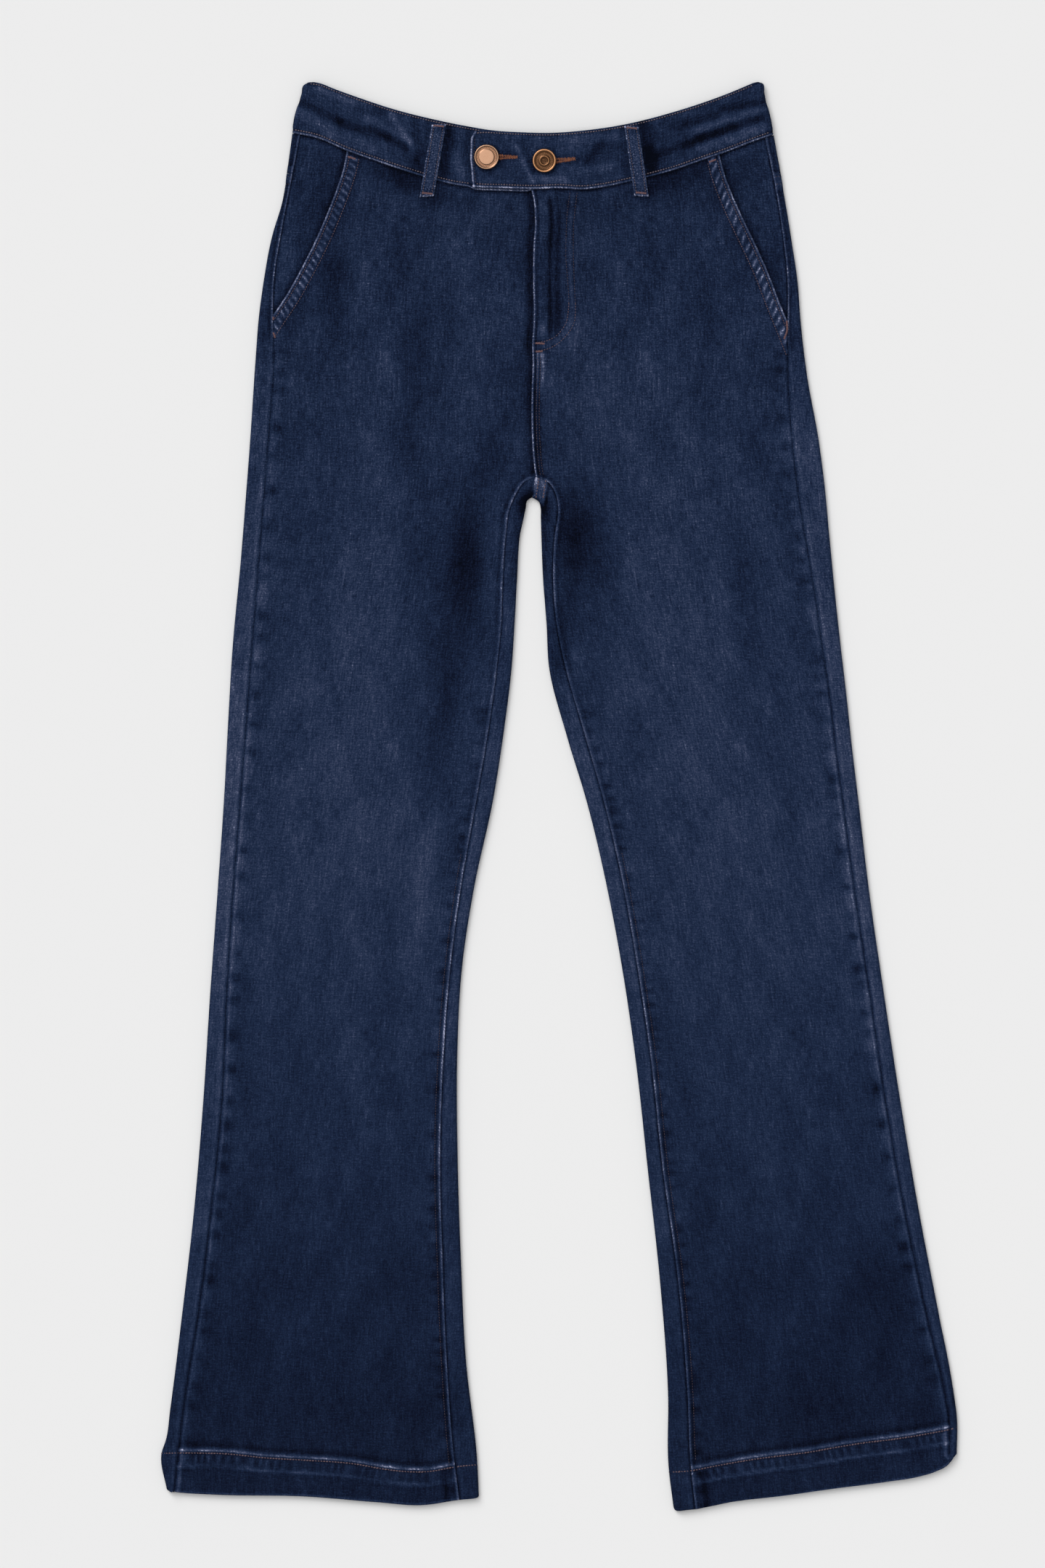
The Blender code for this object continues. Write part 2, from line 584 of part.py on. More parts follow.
def facing_grid(leg):
    """The hip facing, from the outseam to a little way under the front panel's mouth."""
    inward = -leg.sign
    top = float(seam_y(column(leg.side, "outseam", ROWS_ABOVE_YOKE_SEAM[0]))) - BAND_GAP
    low = leg.pocket_end + FACING_TAIL
    levels = [top] + ROWS_ABOVE_YOKE_SEAM[1:] + [y for y in leg.hip if y > leg.pocket_end] + [low]
    across = np.array(FACING_COLUMNS)
    rows = []
    for y in levels:
        part = (y - top) / (low - top)
        mouth_y = lerp(leg.mouth[0].y - GAP, leg.mouth[-1].y + 1, part)
        start = outseam_x(leg, y) + inward * GAP / 2
        end = float(column(leg.mouth, "x", mouth_y)) + inward * FACING_UNDERLAP
        xs = lerp(start, end, across)
        ys = lerp(y, mouth_y, across)
        if y == top:
            ys = seam_y(xs) - BAND_GAP
        rows.append(np.column_stack([xs, ys, top_height(xs, ys)]))
    return np.array(rows)


def band_grid(leg):
    """Half of the waistband: its front end, the side fold and on to the centre back."""
    right = leg.sign < 0
    side = RIGHT_BAND_SIDE if right else LEFT_BAND_SIDE
    columns = np.arange(BAND_FRONT_COLUMNS) / BAND_FRONT_COLUMNS
    back_columns = 1 - columns[:BAND_BACK_COLUMNS] * BAND_FRONT_COLUMNS / BAND_BACK_COLUMNS
    rows = []
    for share in BAND_ROWS:
        start = EXTENSION_END if right else float(column(TAB_END, "x", share, "share"))
        edge_x = float(column(side, "x", share, "share"))
        edge_y = float(lerp(seam_y(edge_x), band_top_y(edge_x), share))
        outward = np.array([leg.sign, BAND_SIDE_LEAN])
        outward = outward / np.linalg.norm(outward)
        arc = fold_arc(np.array([edge_x, edge_y]), outward, BACK_BAND_FLOOR, BAND_HEIGHT, True)
        xs = lerp(start, arc[0, 0], columns)
        ys = lerp(seam_y(xs), band_top_y(xs), share)
        rise = 0 * xs
        if not right:
            rise = (TAB_HEIGHT - BAND_HEIGHT) * ease((TAB_RAMP_END - xs) / (TAB_RAMP_END - TAB_FLAT_END))
        front = np.column_stack([xs, ys, BAND_HEIGHT + rise])
        back_x = lerp(arc[-1, 0], CENTRE_BACK + leg.sign * GAP / 2, back_columns[::-1])
        back_y = lerp(seam_y(back_x), band_top_y(back_x), share)
        back = np.column_stack([back_x, back_y, np.full_like(back_x, BACK_BAND_FLOOR)])
        rows.append(np.vstack([front, arc, back]))
    return np.array(rows)


# --- meshes and modifiers ---------------------------------------------------------------------------

def new_material(name, colour, roughness, metallic):
    material = bpy.data.materials.new(name)
    material.use_nodes = True
    shader = material.node_tree.nodes["Principled BSDF"]
    shader.inputs["Base Color"].default_value = (*colour, 1)
    shader.inputs["Roughness"].default_value = roughness
    shader.inputs["Metallic"].default_value = metallic
    return material


def new_object(name, mesh, material, collection):
    mesh.materials.append(material)
    made = bpy.data.objects.new(name, mesh)
    collection.objects.link(made)
    return made


def sheet(name, grid, upward_at, thickness, material, collection, offset=-1, thin_share=None):
    """A wall of cloth on a grid of surface points; upward_at is a cell whose outer face looks up."""
    rows, columns = grid.shape[:2]
    present = ~np.isnan(grid[..., 0])
    index = np.full((rows, columns), -1)
    index[present] = np.arange(present.sum())
    faces = []
    for i in range(rows - 1):
        for j in range(columns - 1):
            corners = [index[i, j], index[i + 1, j], index[i + 1, j + 1], index[i, j + 1]]
            if min(corners) >= 0:
                faces.append(corners)
    i, j = upward_at
    turn = np.cross(grid[i + 1, j] - grid[i, j], grid[i, j + 1] - grid[i, j])
    if turn[2] < 0:
        faces = [corners[::-1] for corners in faces]
    mesh = bpy.data.meshes.new(name)
    mesh.from_pydata((grid[present] * MM).tolist(), [], faces)
    mesh.shade_smooth()
    made = new_object(name, mesh, material, collection)
    wall = made.modifiers.new("wall", "SOLIDIFY")
    wall.thickness = thickness * MM
    wall.offset = offset
    wall.use_even_offset = True
    wall.use_quality_normals = True
    if thin_share is not None:
        group = made.vertex_groups.new(name="wall")
        for number, share in enumerate(thin_share[present]):
            group.add([number], float(share), "REPLACE")
        wall.vertex_group = group.name
    return made


def hem_share(leg, grid):
    """Each point's share of the hem's thickness: the plain cloth above it, the whole hem in it."""
    plain = CLOTH / HEM_CLOTH
    filled = np.nan_to_num(grid)
    line = fine_line(leg.hem, "x", "y", "x")
    inside = distance_to(filled, line) < HEM_DEPTH + HEM_LEDGE / 2
    return np.where(inside, 1.0, plain)


def belt_loop(loop, material, collection):
    """A flat strip sewn across the band; a front one arches over it and steps down to the panel."""
    rows = []
    across = np.array([-0.5, 0, 0.5]) * LOOP_WIDTH
    for share in np.linspace(0, 1, LOOP_ROWS):
        x = lerp(loop.x_top, loop.x_low, share) + across
        y = np.full(3, lerp(loop.y_top, loop.y_low, share))
        z = 0.0
        if loop.on_top:
            leg = LEFT if loop.x_top > 0 else RIGHT
            panel = front_height(leg, x, y).max() + LAYER_GAP
            band = BAND_HEIGHT + GAP + LOOP_ARCH * math.sin(math.pi * min(share / LOOP_ARCH_END, 1))
            above_seam = y[0] - float(seam_y(x).min())
            z = lerp(panel, band, float(ease((above_seam + LOOP_STEP_START) / LOOP_STEP)))
        rows.append(np.column_stack([x, y, np.full(3, z)]))
    grid = np.array(rows)
    return sheet(loop.name, grid, (0, 0), LOOP_CLOTH, material, collection, offset=1)


def zip_strip(material, collection):
    """The closed zip, lying on the right front's edge and under the left front's lap."""
    rows = []
    for y in np.linspace(float(seam_y(CENTRE_FRONT)) - GAP, ZIP_END, ZIP_ROWS):
        x = CENTRE_FRONT + ZIP_INSET + ZIP_WIDTH * np.array([0, 0.5, 1])
        ys = np.full(3, y)
        rows.append(np.column_stack([x, ys, front_height(RIGHT, x, ys) + LAYER_GAP]))
    return sheet("zip", np.array(rows), (0, 0), ZIP_CLOTH, material, collection, offset=1)


def shank_button(name, x, y, material, collection):
    """A turned shank button: a slightly domed head with a raised rim, on a post through the tab."""
    under = TAB_HEIGHT + GAP
    low = BAND_HEIGHT + GAP
    post = SHANK_DIAMETER / 2
    profile = [(turn.radius_share * BUTTON_DIAMETER / 2, under + turn.height) for turn in BUTTON_HEAD]
    profile += [(post, under), (post, low), (0, low)]
    mesh = bpy.data.meshes.new(name)
    edges = [(k, k + 1) for k in range(len(profile) - 1)]
    mesh.from_pydata([(r * MM, 0, z * MM) for r, z in profile], edges, [])
    made = new_object(name, mesh, material, collection)
    made.location = (x * MM, y * MM, 0)
    lathe = made.modifiers.new("lathe", "SCREW")
    lathe.steps = BUTTON_STEPS
    lathe.render_steps = BUTTON_STEPS
    lathe.use_merge_vertices = True
    lathe.merge_threshold = 0.00001
    lathe.use_smooth_shade = True
    return made


def cut_buttonhole(tab, x, y, cutters):
    """A keyhole through the tab: a round eye for the post and a slit beside it."""
    middle = (TAB_HEIGHT - BAND_CLOTH / 2) * MM
    depth = 4 * BAND_CLOTH * MM
    bpy.ops.mesh.primitive_cylinder_add(
        vertices=EYE_STEPS, radius=EYE_DIAMETER / 2 * MM, depth=depth, location=(x * MM, y * MM, middle)
    )
    eye = bpy.context.object
    slit_x = (x + SLIT_LENGTH / 2) * MM
    bpy.ops.mesh.primitive_cube_add(size=1, location=(slit_x, y * MM, middle))
    slit = bpy.context.object
    slit.scale = (SLIT_LENGTH * MM, SLIT_WIDTH * MM, depth)
    for cutter, kind in ((eye, "eye"), (slit, "slit")):
        cutter.name = f"cut_{kind}_{abs(x):.0f}"
        cutter.hide_render = True
        cutter.display_type = "WIRE"
        for owner in list(cutter.users_collection):
            owner.objects.unlink(cutter)
        cutters.objects.link(cutter)
        cut = tab.modifiers.new(cutter.name, "BOOLEAN")
        cut.operation = "DIFFERENCE"
        cut.solver = "EXACT"
        cut.object = cutter


def clear_scene():
    for old in list(bpy.data.objects):
        bpy.data.objects.remove(old, do_unlink=True)


def build():
    clear_scene()
    jeans = bpy.data.collections.new("flared_jeans")
    cutters = bpy.data.collections.new("cutters")
    bpy.context.scene.collection.children.link(jeans)
    bpy.context.scene.collection.children.link(cutters)
    denim = new_material("indigo_denim", (0.022, 0.045, 0.12), 0.85, 0.0)
    shade = new_material("indigo_denim_back", (0.018, 0.037, 0.1), 0.85, 0.0)
    tape = new_material("zip_tape", (0.01, 0.015, 0.04), 0.8, 0.0)
    copper = new_material("copper_plated_brass", (0.58, 0.29, 0.17), 0.32, 1.0)

    for leg in (RIGHT, LEFT):
        front = front_grid(leg)
        back = back_grid(leg)
        sheet(f"front_{leg.name}", front, (0, 0), HEM_CLOTH, denim, jeans, thin_share=hem_share(leg, front))
        sheet(f"back_{leg.name}", back, (0, 0), HEM_CLOTH, shade, jeans, thin_share=hem_share(leg, back))
        sheet(f"back_yoke_{leg.name}", yoke_grid(leg), (0, 0), CLOTH, shade, jeans)
        sheet(f"pocket_facing_{leg.name}", facing_grid(leg), (0, 0), CLOTH, denim, jeans)
        band = sheet(f"waistband_{leg.name}", band_grid(leg), (0, 0), BAND_CLOTH, denim, jeans)
        if leg.sign > 0:
            for _, x, y in BUTTONS:
                cut_buttonhole(band, x, y, cutters)
    for loop in LOOPS:
        belt_loop(loop, denim, jeans)
    for name, x, y in BUTTONS:
        shank_button(name, x, y, copper, jeans)
    zip_strip(tape, jeans)


build()
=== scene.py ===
# %% [markdown]
# # Flared jeans, laid flat
#
# This lesson dresses a pair of jeans in Blender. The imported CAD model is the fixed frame: it says where
# each panel lies. Every panel is drawn again here as a fine shell of cloth, with its creases, puckers,
# worn edges and thread.
#
# Lengths in the tables are millimetres. +Y runs to the waist, +X to the wearer's left, and +Z up.

# %% Frame and box
import math
from collections import namedtuple

import bpy
import numpy as np
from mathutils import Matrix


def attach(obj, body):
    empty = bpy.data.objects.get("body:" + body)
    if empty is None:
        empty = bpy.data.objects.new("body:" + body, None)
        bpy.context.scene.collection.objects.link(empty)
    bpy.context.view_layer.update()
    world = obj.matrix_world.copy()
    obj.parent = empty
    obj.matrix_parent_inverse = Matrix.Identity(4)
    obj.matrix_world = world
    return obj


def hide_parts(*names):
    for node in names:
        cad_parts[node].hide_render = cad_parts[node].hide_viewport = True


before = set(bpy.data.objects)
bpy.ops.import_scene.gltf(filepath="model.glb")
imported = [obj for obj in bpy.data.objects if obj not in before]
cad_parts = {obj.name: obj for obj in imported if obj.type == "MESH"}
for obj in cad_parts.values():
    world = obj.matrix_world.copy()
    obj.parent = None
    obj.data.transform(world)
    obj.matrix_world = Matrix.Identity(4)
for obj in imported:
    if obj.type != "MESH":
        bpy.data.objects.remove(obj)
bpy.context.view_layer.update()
MM = 0.001

# %% [markdown]
# ## Sizes
#
# The frame gives boxes, not outlines, so the pattern pieces are written down again as short tables:
# the side folds, the seams beside them, the pockets, the hems and the two edges of the waistband.

# %% Heights, gaps and cloth
CLOTH = 1.4
HEM_CLOTH = 2.2
BAND_CLOTH = 2.6
LOOP_CLOTH = 1.5
LAYER_GAP = 0.6
ZIP_CLOTH = 0.6
GAP = 0.12
BAND_GAP = 0.25
PANEL_HEIGHT = 3.8
FOLD_HEIGHT = 5.4
FOLD_REACH = 60.0
CROTCH_RISE = 1.0
CROTCH_REACH = 60.0
BAND_SEAM_HEIGHT = 6.0
BAND_RAMP = 45.0
FRONT_BAND_LIFT = 0.9
BACK_BAND_FLOOR = 1.8
BACK_RAMP_START = 22.0
BACK_RAMP_END = 52.0
BAND_HEIGHT = 7.8
TAB_HEIGHT = 10.7
HEM_DEPTH = 30.0
HEM_LEDGE = 3.0
HEM_CORNER = 2.0
HEM_BOW_REACH = 90.0
FACING_UNDERLAP = 13.0
FACING_TAIL = 5.0
FLAT_OVER_FACING = 17.0
LIFT_FALL = 38.0
CENTRE_FRONT = -20.0
CENTRE_BACK = -21.5
FLY_UNDERLAP = 14.0
FLY_FLAT = 27.0
FLY_FALL = 18.0
ZIP_END = 352.0
ZIP_STEP_START = 20.0
ZIP_STEP = 15.0
UNDERLAP_END = 285.0
UNDERLAP_TAPER = 40.0
LAP_STEP_START = 25.0
LAP_STEP = 22.0
YOKE_SIDE = 490.0
YOKE_CENTRE = 416.0
CROTCH_LEVEL = 250
DROP_END = 205
EXTENSION_END = 6.0
TAB_FLAT_END = 12.0
TAB_RAMP_END = 45.0
BAND_SIDE_LEAN = 0.12
LOOP_WIDTH = 11.4
LOOP_ARCH = 0.8
LOOP_ARCH_END = 0.75
LOOP_STEP_START = 7.0
LOOP_STEP = 6.0

Side = namedtuple("Side", "y fold outseam")
Inner = namedtuple("Inner", "y inseam fold_x fold_y drop")
Edge = namedtuple("Edge", "x y")
End = namedtuple("End", "share x")
Crease = namedtuple("Crease", "x0 y0 x1 y1 width height")
Loop = namedtuple("Loop", "name x_top y_top x_low y_low on_top")
Turn = namedtuple("Turn", "radius height")
Tone = namedtuple("Tone", "x y wide long lean amount")
Level = namedtuple("Level", "y wear")
Leg = namedtuple("Leg", "name sign side inner mouth hem hem_row hem_y hem_slide levels pocket_end yoke")


def table(columns, *rows):
    """A short table whose columns have names."""
    return [columns(*row) for row in rows]


# %% [markdown]
# The side table gives, for each level, the fold that makes the silhouette and the outseam beside it.
# The inner table gives the inseam and the fold inside it. A row across a leg starts at the side fold at
# `y` and ends at the inner fold, and close to the crotch the inseam stands a `drop` above that line.

# %% Silhouettes and seams
RIGHT_SIDE = table(
    Side,
    (522, -209.8, -203.5), (495, -213.5, -208.5), (467, -218, -214), (440, -226, -219), (408, -232, -224),
    (379, -236, -225), (341, -239, -224.5), (281, -243, -228.8), (235, -246.5, -232.2),
    (185, -250.5, -236.2), (122, -256.5, -241.2), (56, -260.5, -246.3), (0, -263.5, -250.6),
    (-72, -268.5, -256.2), (-155, -274.5, -261.5), (-240, -280, -265.3), (-323, -287, -273.5),
    (-406, -296.5, -283.8), (-480, -305.8, -295.5), (-505, -309.4, -298.4), (-514, -312.4, -299.5),
    (-544.5, -308.4, -302.4),
)
LEFT_SIDE = table(
    Side,
    (522, 167.9, 161), (491, 173.5, 167), (467, 177.5, 171.5), (436, 182.5, 176), (405, 187, 179),
    (373, 189.5, 179), (331, 194.5, 179.5), (281, 203.5, 182.7), (247, 208, 186.4), (205, 212, 193),
    (164, 216, 200), (122, 220.5, 205.9), (81, 225.3, 212), (39, 229.8, 217), (0, 234.5, 222.2),
    (-72, 243, 231.7), (-155, 255, 244), (-240, 268, 256.5), (-323, 282, 271), (-406, 298, 288.5),
    (-460, 308.5, 301), (-489, 312.3, 306), (-515.5, 312.1, 306),
)
RIGHT_INNER = table(
    Inner,
    (250, -18.7, -21.5, 235.7, 15.8), (243, -27, -25.3, 233, 15), (234, -33.6, -26.4, 227.5, 11.5),
    (222, -39.2, -28, 220, 6), (205, -42, -31, 206, 1), (172, -44.4, -33.3, 172, 0),
    (136, -45.7, -35.3, 136, 0), (102, -49.1, -37.6, 102, 0), (50, -56.2, -44, 50, 0),
    (0, -64.8, -51.8, 0, 0), (-72, -77.6, -67.5, -73, 0), (-135, -85.8, -76.8, -136, 0),
    (-200, -90.9, -80.3, -202, 0), (-280, -93.6, -80, -283, 0), (-360, -91.7, -77.4, -364, 0),
    (-440, -88.3, -73.3, -444, 0), (-513, -82.5, -64.8, -519, 0), (-544.5, -78.6, -63.3, -549.8, 0),
)
LEFT_INNER = table(
    Inner,
    (250, -18.3, -21.5, 235.7, 15.8), (243, -9.5, -16.5, 232.5, 15), (234, -3.6, -14.9, 227.5, 11.5),
    (222, -1.2, -14.7, 220, 6), (205, -3.8, -14.3, 205, 1), (172, -5.2, -13, 172, 0),
    (136, -2.4, -10.2, 136, 0), (102, 4.6, -8.2, 102, 0), (50, 20, 5.8, 48, 0), (0, 34.4, 21, -2, 0),
    (-72, 50.8, 38, -74, 0), (-135, 61.9, 50, -139, 0), (-200, 71.9, 60, -208, 0),
    (-280, 81.1, 69.5, -294, 0), (-360, 93, 79, -381, 0), (-440, 100.4, 85.3, -470, 0),
    (-489, 103, 85.8, -527, 0), (-515.5, 106.8, 90.1, -561.6, 0),
)
RIGHT_MOUTH = table(
    Edge,
    (-167.1, 507.5), (-169.6, 495), (-174.3, 480), (-182, 460), (-191, 439), (-202.6, 416), (-214.2, 395),
    (-224.8, 379),
)
LEFT_MOUTH = table(
    Edge,
    (125.6, 504.8), (130.2, 488), (136.8, 471), (145.4, 452), (155, 432), (163.7, 412.5), (171.4, 392.5),
    (178.8, 374),
)

# %% [markdown]
# Each hem has two lines, its lower edge and the row where it is sewn down. The waistband has two long
# edges and three ends. The fly's edge and the two rows of its J stitch come next.

# %% Hems, waistband and fly
RIGHT_HEM = table(
    Edge,
    (-308.4, -544.5), (-300, -545.6), (-271, -547.4), (-200, -548.8), (-142, -553.4), (-109, -555.6),
    (-75.5, -550.9), (-63.3, -549.8),
)
LEFT_HEM = table(
    Edge,
    (90.1, -561.6), (107.7, -560), (133, -554.6), (174.4, -549.5), (216, -543.4), (257.6, -537.7),
    (281, -533.8), (295.5, -529.4), (304.5, -524.6), (312.1, -515.5),
)
RIGHT_HEM_ROW = table(
    Edge,
    (-312.4, -515), (-300.4, -514.7), (-280, -514.8), (-262.8, -515.3), (-230, -518.6), (-200.6, -520.3),
    (-160, -523.4), (-137.9, -527.3), (-120, -529.3), (-100.5, -529), (-87, -526.5), (-75, -524.8),
    (-63.8, -523.9),
)
LEFT_HEM_ROW = table(
    Edge,
    (86.1, -529.8), (103.7, -528.6), (118, -525.8), (132.8, -523), (155, -519.3), (174.4, -516.8),
    (195, -514.2), (216, -510.5), (240, -506.6), (257.6, -504.5), (275, -502), (290, -499.4), (305, -496.5),
    (312.2, -494.7),
)
BAND_SEAM = table(
    Edge,
    (-210, 521.6), (-189, 517), (-167, 507.5), (-143, 499), (-120, 491.3), (-97, 484.4), (-82, 480.8),
    (-68, 478.9), (-46, 478), (-20, 477.3), (2, 477.9), (16, 477), (39, 479.8), (51, 482.4), (70, 487),
    (91, 492.8), (110, 499.4), (130, 506.2), (153, 515), (168, 520.2),
)
BAND_TOP = table(
    Edge,
    (-196.5, 560.6), (-188.7, 559.4), (-177, 554.9), (-154.5, 546.8), (-131.7, 539.3), (-97.5, 530.6),
    (-74.7, 525.9), (-52, 522.2), (-29, 520.6), (-6, 520.2), (16.5, 521.8), (39.3, 524.8), (51, 526.9),
    (91, 537.1), (110, 543.1), (130.5, 550.5), (142, 555.2), (155, 560.8),
)
RIGHT_BAND_SIDE = table(
    End,
    (0, -209.8), (0.25, -208.8), (0.5, -206), (0.75, -202.7), (0.93, -200.4), (1, -196.5),
)
LEFT_BAND_SIDE = table(
    End,
    (0, 167.9), (0.25, 166.3), (0.5, 163.5), (0.75, 160.9), (0.93, 159.2), (1, 155),
)
TAB_END = table(
    End,
    (0, -68.2), (0.25, -69.3), (0.5, -70.2), (0.75, -69.9), (0.93, -69), (1, -67),
)
FLY_EDGE = table(
    Edge,
    (-22.8, 479), (-20.6, 469.4), (-19.6, 460), (-19.4, 449), (-20.4, 435), (-20.9, 415), (-20.7, 398),
    (-20.3, 381), (-20.8, 367), (-21.6, 355.4), (-21.2, 341), (-21.9, 320), (-21.2, 272.7), (-20.2, 261.3),
    (-18.8, 251.6),
)
FLY_INNER_ROW = table(
    Edge,
    (8, 474), (5.7, 455), (5.1, 438), (5.1, 421), (6.3, 406.7), (6.8, 381), (5.1, 372.5), (1.1, 366.2),
    (-3.4, 361.7), (-9.1, 358.8), (-20.2, 356.5),
)
FLY_OUTER_ROW = table(
    Edge,
    (13.7, 474), (11.1, 449.4), (10.8, 432.3), (12, 395.3), (12.5, 381), (11.4, 372.5), (8.5, 366.8),
    (3.4, 360.5), (-1.7, 356), (-8, 352.5), (-20.2, 350.3),
)
LOOPS = table(
    Loop,
    ("belt_loop_front_right", -94.6, 528.4, -104.3, 471.4, True),
    ("belt_loop_front_left", 56.4, 526.8, 64.4, 471.7, True),
    ("belt_loop_back_right", -124, 535.5, -129, 480, False),
    ("belt_loop_back_centre", -21.5, 518.5, -21.5, 461.5, False),
    ("belt_loop_back_left", 81, 533.6, 86, 479, False),
)

# %% [markdown]
# ## Creases, wear and painted shade
#
# Denim is dyed with indigo only on the outside of its yarn, so it pales wherever it is rubbed: on seams,
# on folded edges, and softly over thighs and knees. Broad creases are given as lines with a width and a
# height; their crests are drawn paler as wear and their troughs darker as painted shade. Tones are soft
# oval patches: pale ones are wear, and dark ones are mostly painted shade in the troughs of soft folds,
# near the crotch and down the inner thighs. The levels say how much paler or darker each leg is drawn at
# each height.

# %% Broad creases
CREASES = table(
    Crease,
    (-60, 285, -160, 345, 42, 0.6), (15, 290, 110, 350, 42, 0.6), (-75, 225, -190, 250, 46, 0.5),
    (30, 225, 150, 255, 46, 0.5), (-95, 180, -75, -20, 50, -0.4), (45, 170, 75, -30, 50, -0.4),
    (-165, 120, -175, -120, 60, 0.6), (115, 120, 160, -120, 60, 0.6), (-110, -40, -235, -95, 46, 0.5),
    (70, -50, 205, -90, 46, 0.5), (-140, -230, -190, -420, 60, 0.5), (140, -230, 215, -420, 60, 0.5),
    (-150, 440, -60, 410, 34, 0.5), (20, 415, 110, 445, 34, 0.5),
)
BAND_CREASES = table(
    Crease,
    (-204, 546, -171.6, 530.4, 5.5, -0.35), (-171.6, 529.2, -134.5, 517.8, 5.5, -0.35),
    (-156, 542, -138, 537.5, 6, -0.3), (-145.9, 526.4, -120.3, 509.3, 6, -0.35),
    (165, 546, 128, 540.6, 5.5, -0.35), (158, 533, 110.6, 517.8, 5.5, -0.4),
    (110.6, 517.8, 73.5, 502.5, 6, -0.35), (122, 535, 90.6, 526.4, 6, -0.3),
    (-29.1, 516.7, -20.5, 490.5, 4.5, -0.25), (33.6, 513, 22.2, 499.6, 7, -0.3),
    (-83.2, 521, -88, 489.3, 6, -0.25), (-113, 535, -111, 500, 6, -0.25), (70, 528, 74, 494, 7, -0.3),
    (-205, 540, -175, 518, 8, 0.25), (-132.8, 536, -108, 501, 5, 0.3), (-165.9, 519, -146, 508.5, 7, 0.25),
    (-190, 556, -150, 541, 5, 0.25), (160, 541, 107.7, 523.5, 6, 0.3), (161, 526, 107.7, 508.7, 6, 0.3),
    (-34, 511, -21.5, 483, 3.5, 0.4), (10, 515.5, 58, 519, 6, 0.2), (5.1, 484.6, -19, 486.5, 5, 0.3),
    (-83.2, 503.6, -75, 485.5, 7, 0.2), (70, 507, 75, 489, 9, -0.3), (-110, 505, -113, 492, 7, -0.3),
    (100, 512, 135, 526, 6, -0.25), (-150, 532, -118, 515, 6, 0.25), (18, 492, 44, 496, 6, 0.2),
)

# %% Tones and levels
TONES = table(
    Tone,
    (-177, 400, 8, 60, 0, -0.11), (-152, 410, 10, 60, 0, 0.03), (-114, 325, 9, 60, 0, -0.13),
    (-104, 175, 9, 50, 2, -0.09), (-96, 60, 8, 50, 4, -0.10), (-86, -25, 6, 30, 6, -0.06),
    (-76, 410, 16, 70, 0, 0.04), (-148, 150, 24, 130, 0, 0.06), (-108, -68, 9, 45, 3, 0.09),
    (-72, 178, 10, 34, 0, -0.24), (-66, 235, 13, 34, 12, -0.12), (-82, 100, 9, 40, 5, -0.09),
    (-41, 285, 8, 32, 0, -0.07), (-205, 0, 34, 110, 0, 0.03), (-160, -180, 10, 70, 2, 0.04),
    (-118, -180, 8, 60, 0, 0.03), (-182, 230, 9, 60, 0, -0.03), (-136, -130, 9, 50, 0, -0.04),
    (14, 207, 14, 28, 0, -0.28), (2, 132, 7, 40, 6, -0.17), (36, 170, 9, 34, 8, -0.06),
    (85, 160, 42, 120, -6, 0.06), (164, 250, 7, 36, -12, -0.05), (144, 140, 7, 60, -9, -0.07),
    (105, 405, 30, 50, 0, -0.02), (40, 330, 20, 60, 0, 0.03), (125, -60, 30, 110, -8, 0.03),
    (215, -60, 10, 90, -8, 0.05), (198, -480, 22, 20, 0, -0.06), (251, -400, 18, 30, 0, -0.07),
    (150, -440, 22, 30, 0, 0.03), (9, 362, 6, 16, 0, 0.07), (100, -255, 14, 50, -10, -0.03),
)
RIGHT_LEVELS = table(
    Level,
    (520, -0.05), (455, -0.02), (285, 0.01), (113, 0.03), (-58, 0.05), (-170, 0.01), (-286, -0.04),
    (-400, -0.10), (-485, -0.145), (-560, -0.15),
)
LEFT_LEVELS = table(
    Level,
    (520, -0.055), (455, -0.02), (285, 0.01), (113, 0.03), (0, 0.035), (-115, 0.03), (-230, 0.0),
    (-343, -0.06), (-430, -0.13), (-560, -0.145),
)

RIGHT = Leg(
    "right", -1, RIGHT_SIDE, RIGHT_INNER, RIGHT_MOUTH, RIGHT_HEM, RIGHT_HEM_ROW, -515.0, -2.9,
    RIGHT_LEVELS, 379, 489.7,
)
LEFT = Leg(
    "left", 1, LEFT_SIDE, LEFT_INNER, LEFT_MOUTH, LEFT_HEM, LEFT_HEM_ROW, -494.7, 3.7,
    LEFT_LEVELS, 374, 484.6,
)
LEGS = (RIGHT, LEFT)
print("creases", len(CREASES) + len(BAND_CREASES), "tones", len(TONES))


# %% [markdown]
# ## Curves
#
# A short table becomes a smooth line by a cubic through its rows. `measure` tells how far any point is
# from such a line, on which side, and how far along: seams, puckers and thread all start from that.

# %% Curve helpers
def smooth(at, knots, values):
    """A smooth curve through the values at the knots, read at the places asked for."""
    knots = np.asarray(knots, float)
    values = np.asarray(values, float)
    if knots[0] > knots[-1]:
        knots, values = knots[::-1], values[::-1]
    at = np.asarray(at, float)
    inside = np.clip(at, knots[0], knots[-1])
    steps = np.diff(knots)
    slopes = np.diff(values) / steps
    blend = steps[1:] / (steps[:-1] + steps[1:])
    tangents = np.concatenate([slopes[:1], slopes[:-1] * blend + slopes[1:] * (1 - blend), slopes[-1:]])
    k = np.clip(np.searchsorted(knots, inside) - 1, 0, len(steps) - 1)
    s = (inside - knots[k]) / steps[k]
    here = (1 + 2 * s) * (1 - s) ** 2 * values[k] + s * s * (3 - 2 * s) * values[k + 1]
    bend = s * (1 - s) ** 2 * tangents[k] - s * s * (1 - s) * tangents[k + 1]
    beyond = np.where(at > inside, tangents[-1], tangents[0]) * (at - inside)
    return here + bend * steps[k] + beyond


def column(rows, name, at, key="y"):
    """One column of a table, read at the given value of its key column."""
    return smooth(at, [getattr(row, key) for row in rows], [getattr(row, name) for row in rows])


def ease(share):
    """0 to 1 with soft ends."""
    share = np.clip(share, 0, 1)
    return share * share * (3 - 2 * share)


def lerp(a, b, share):
    return a + (b - a) * share


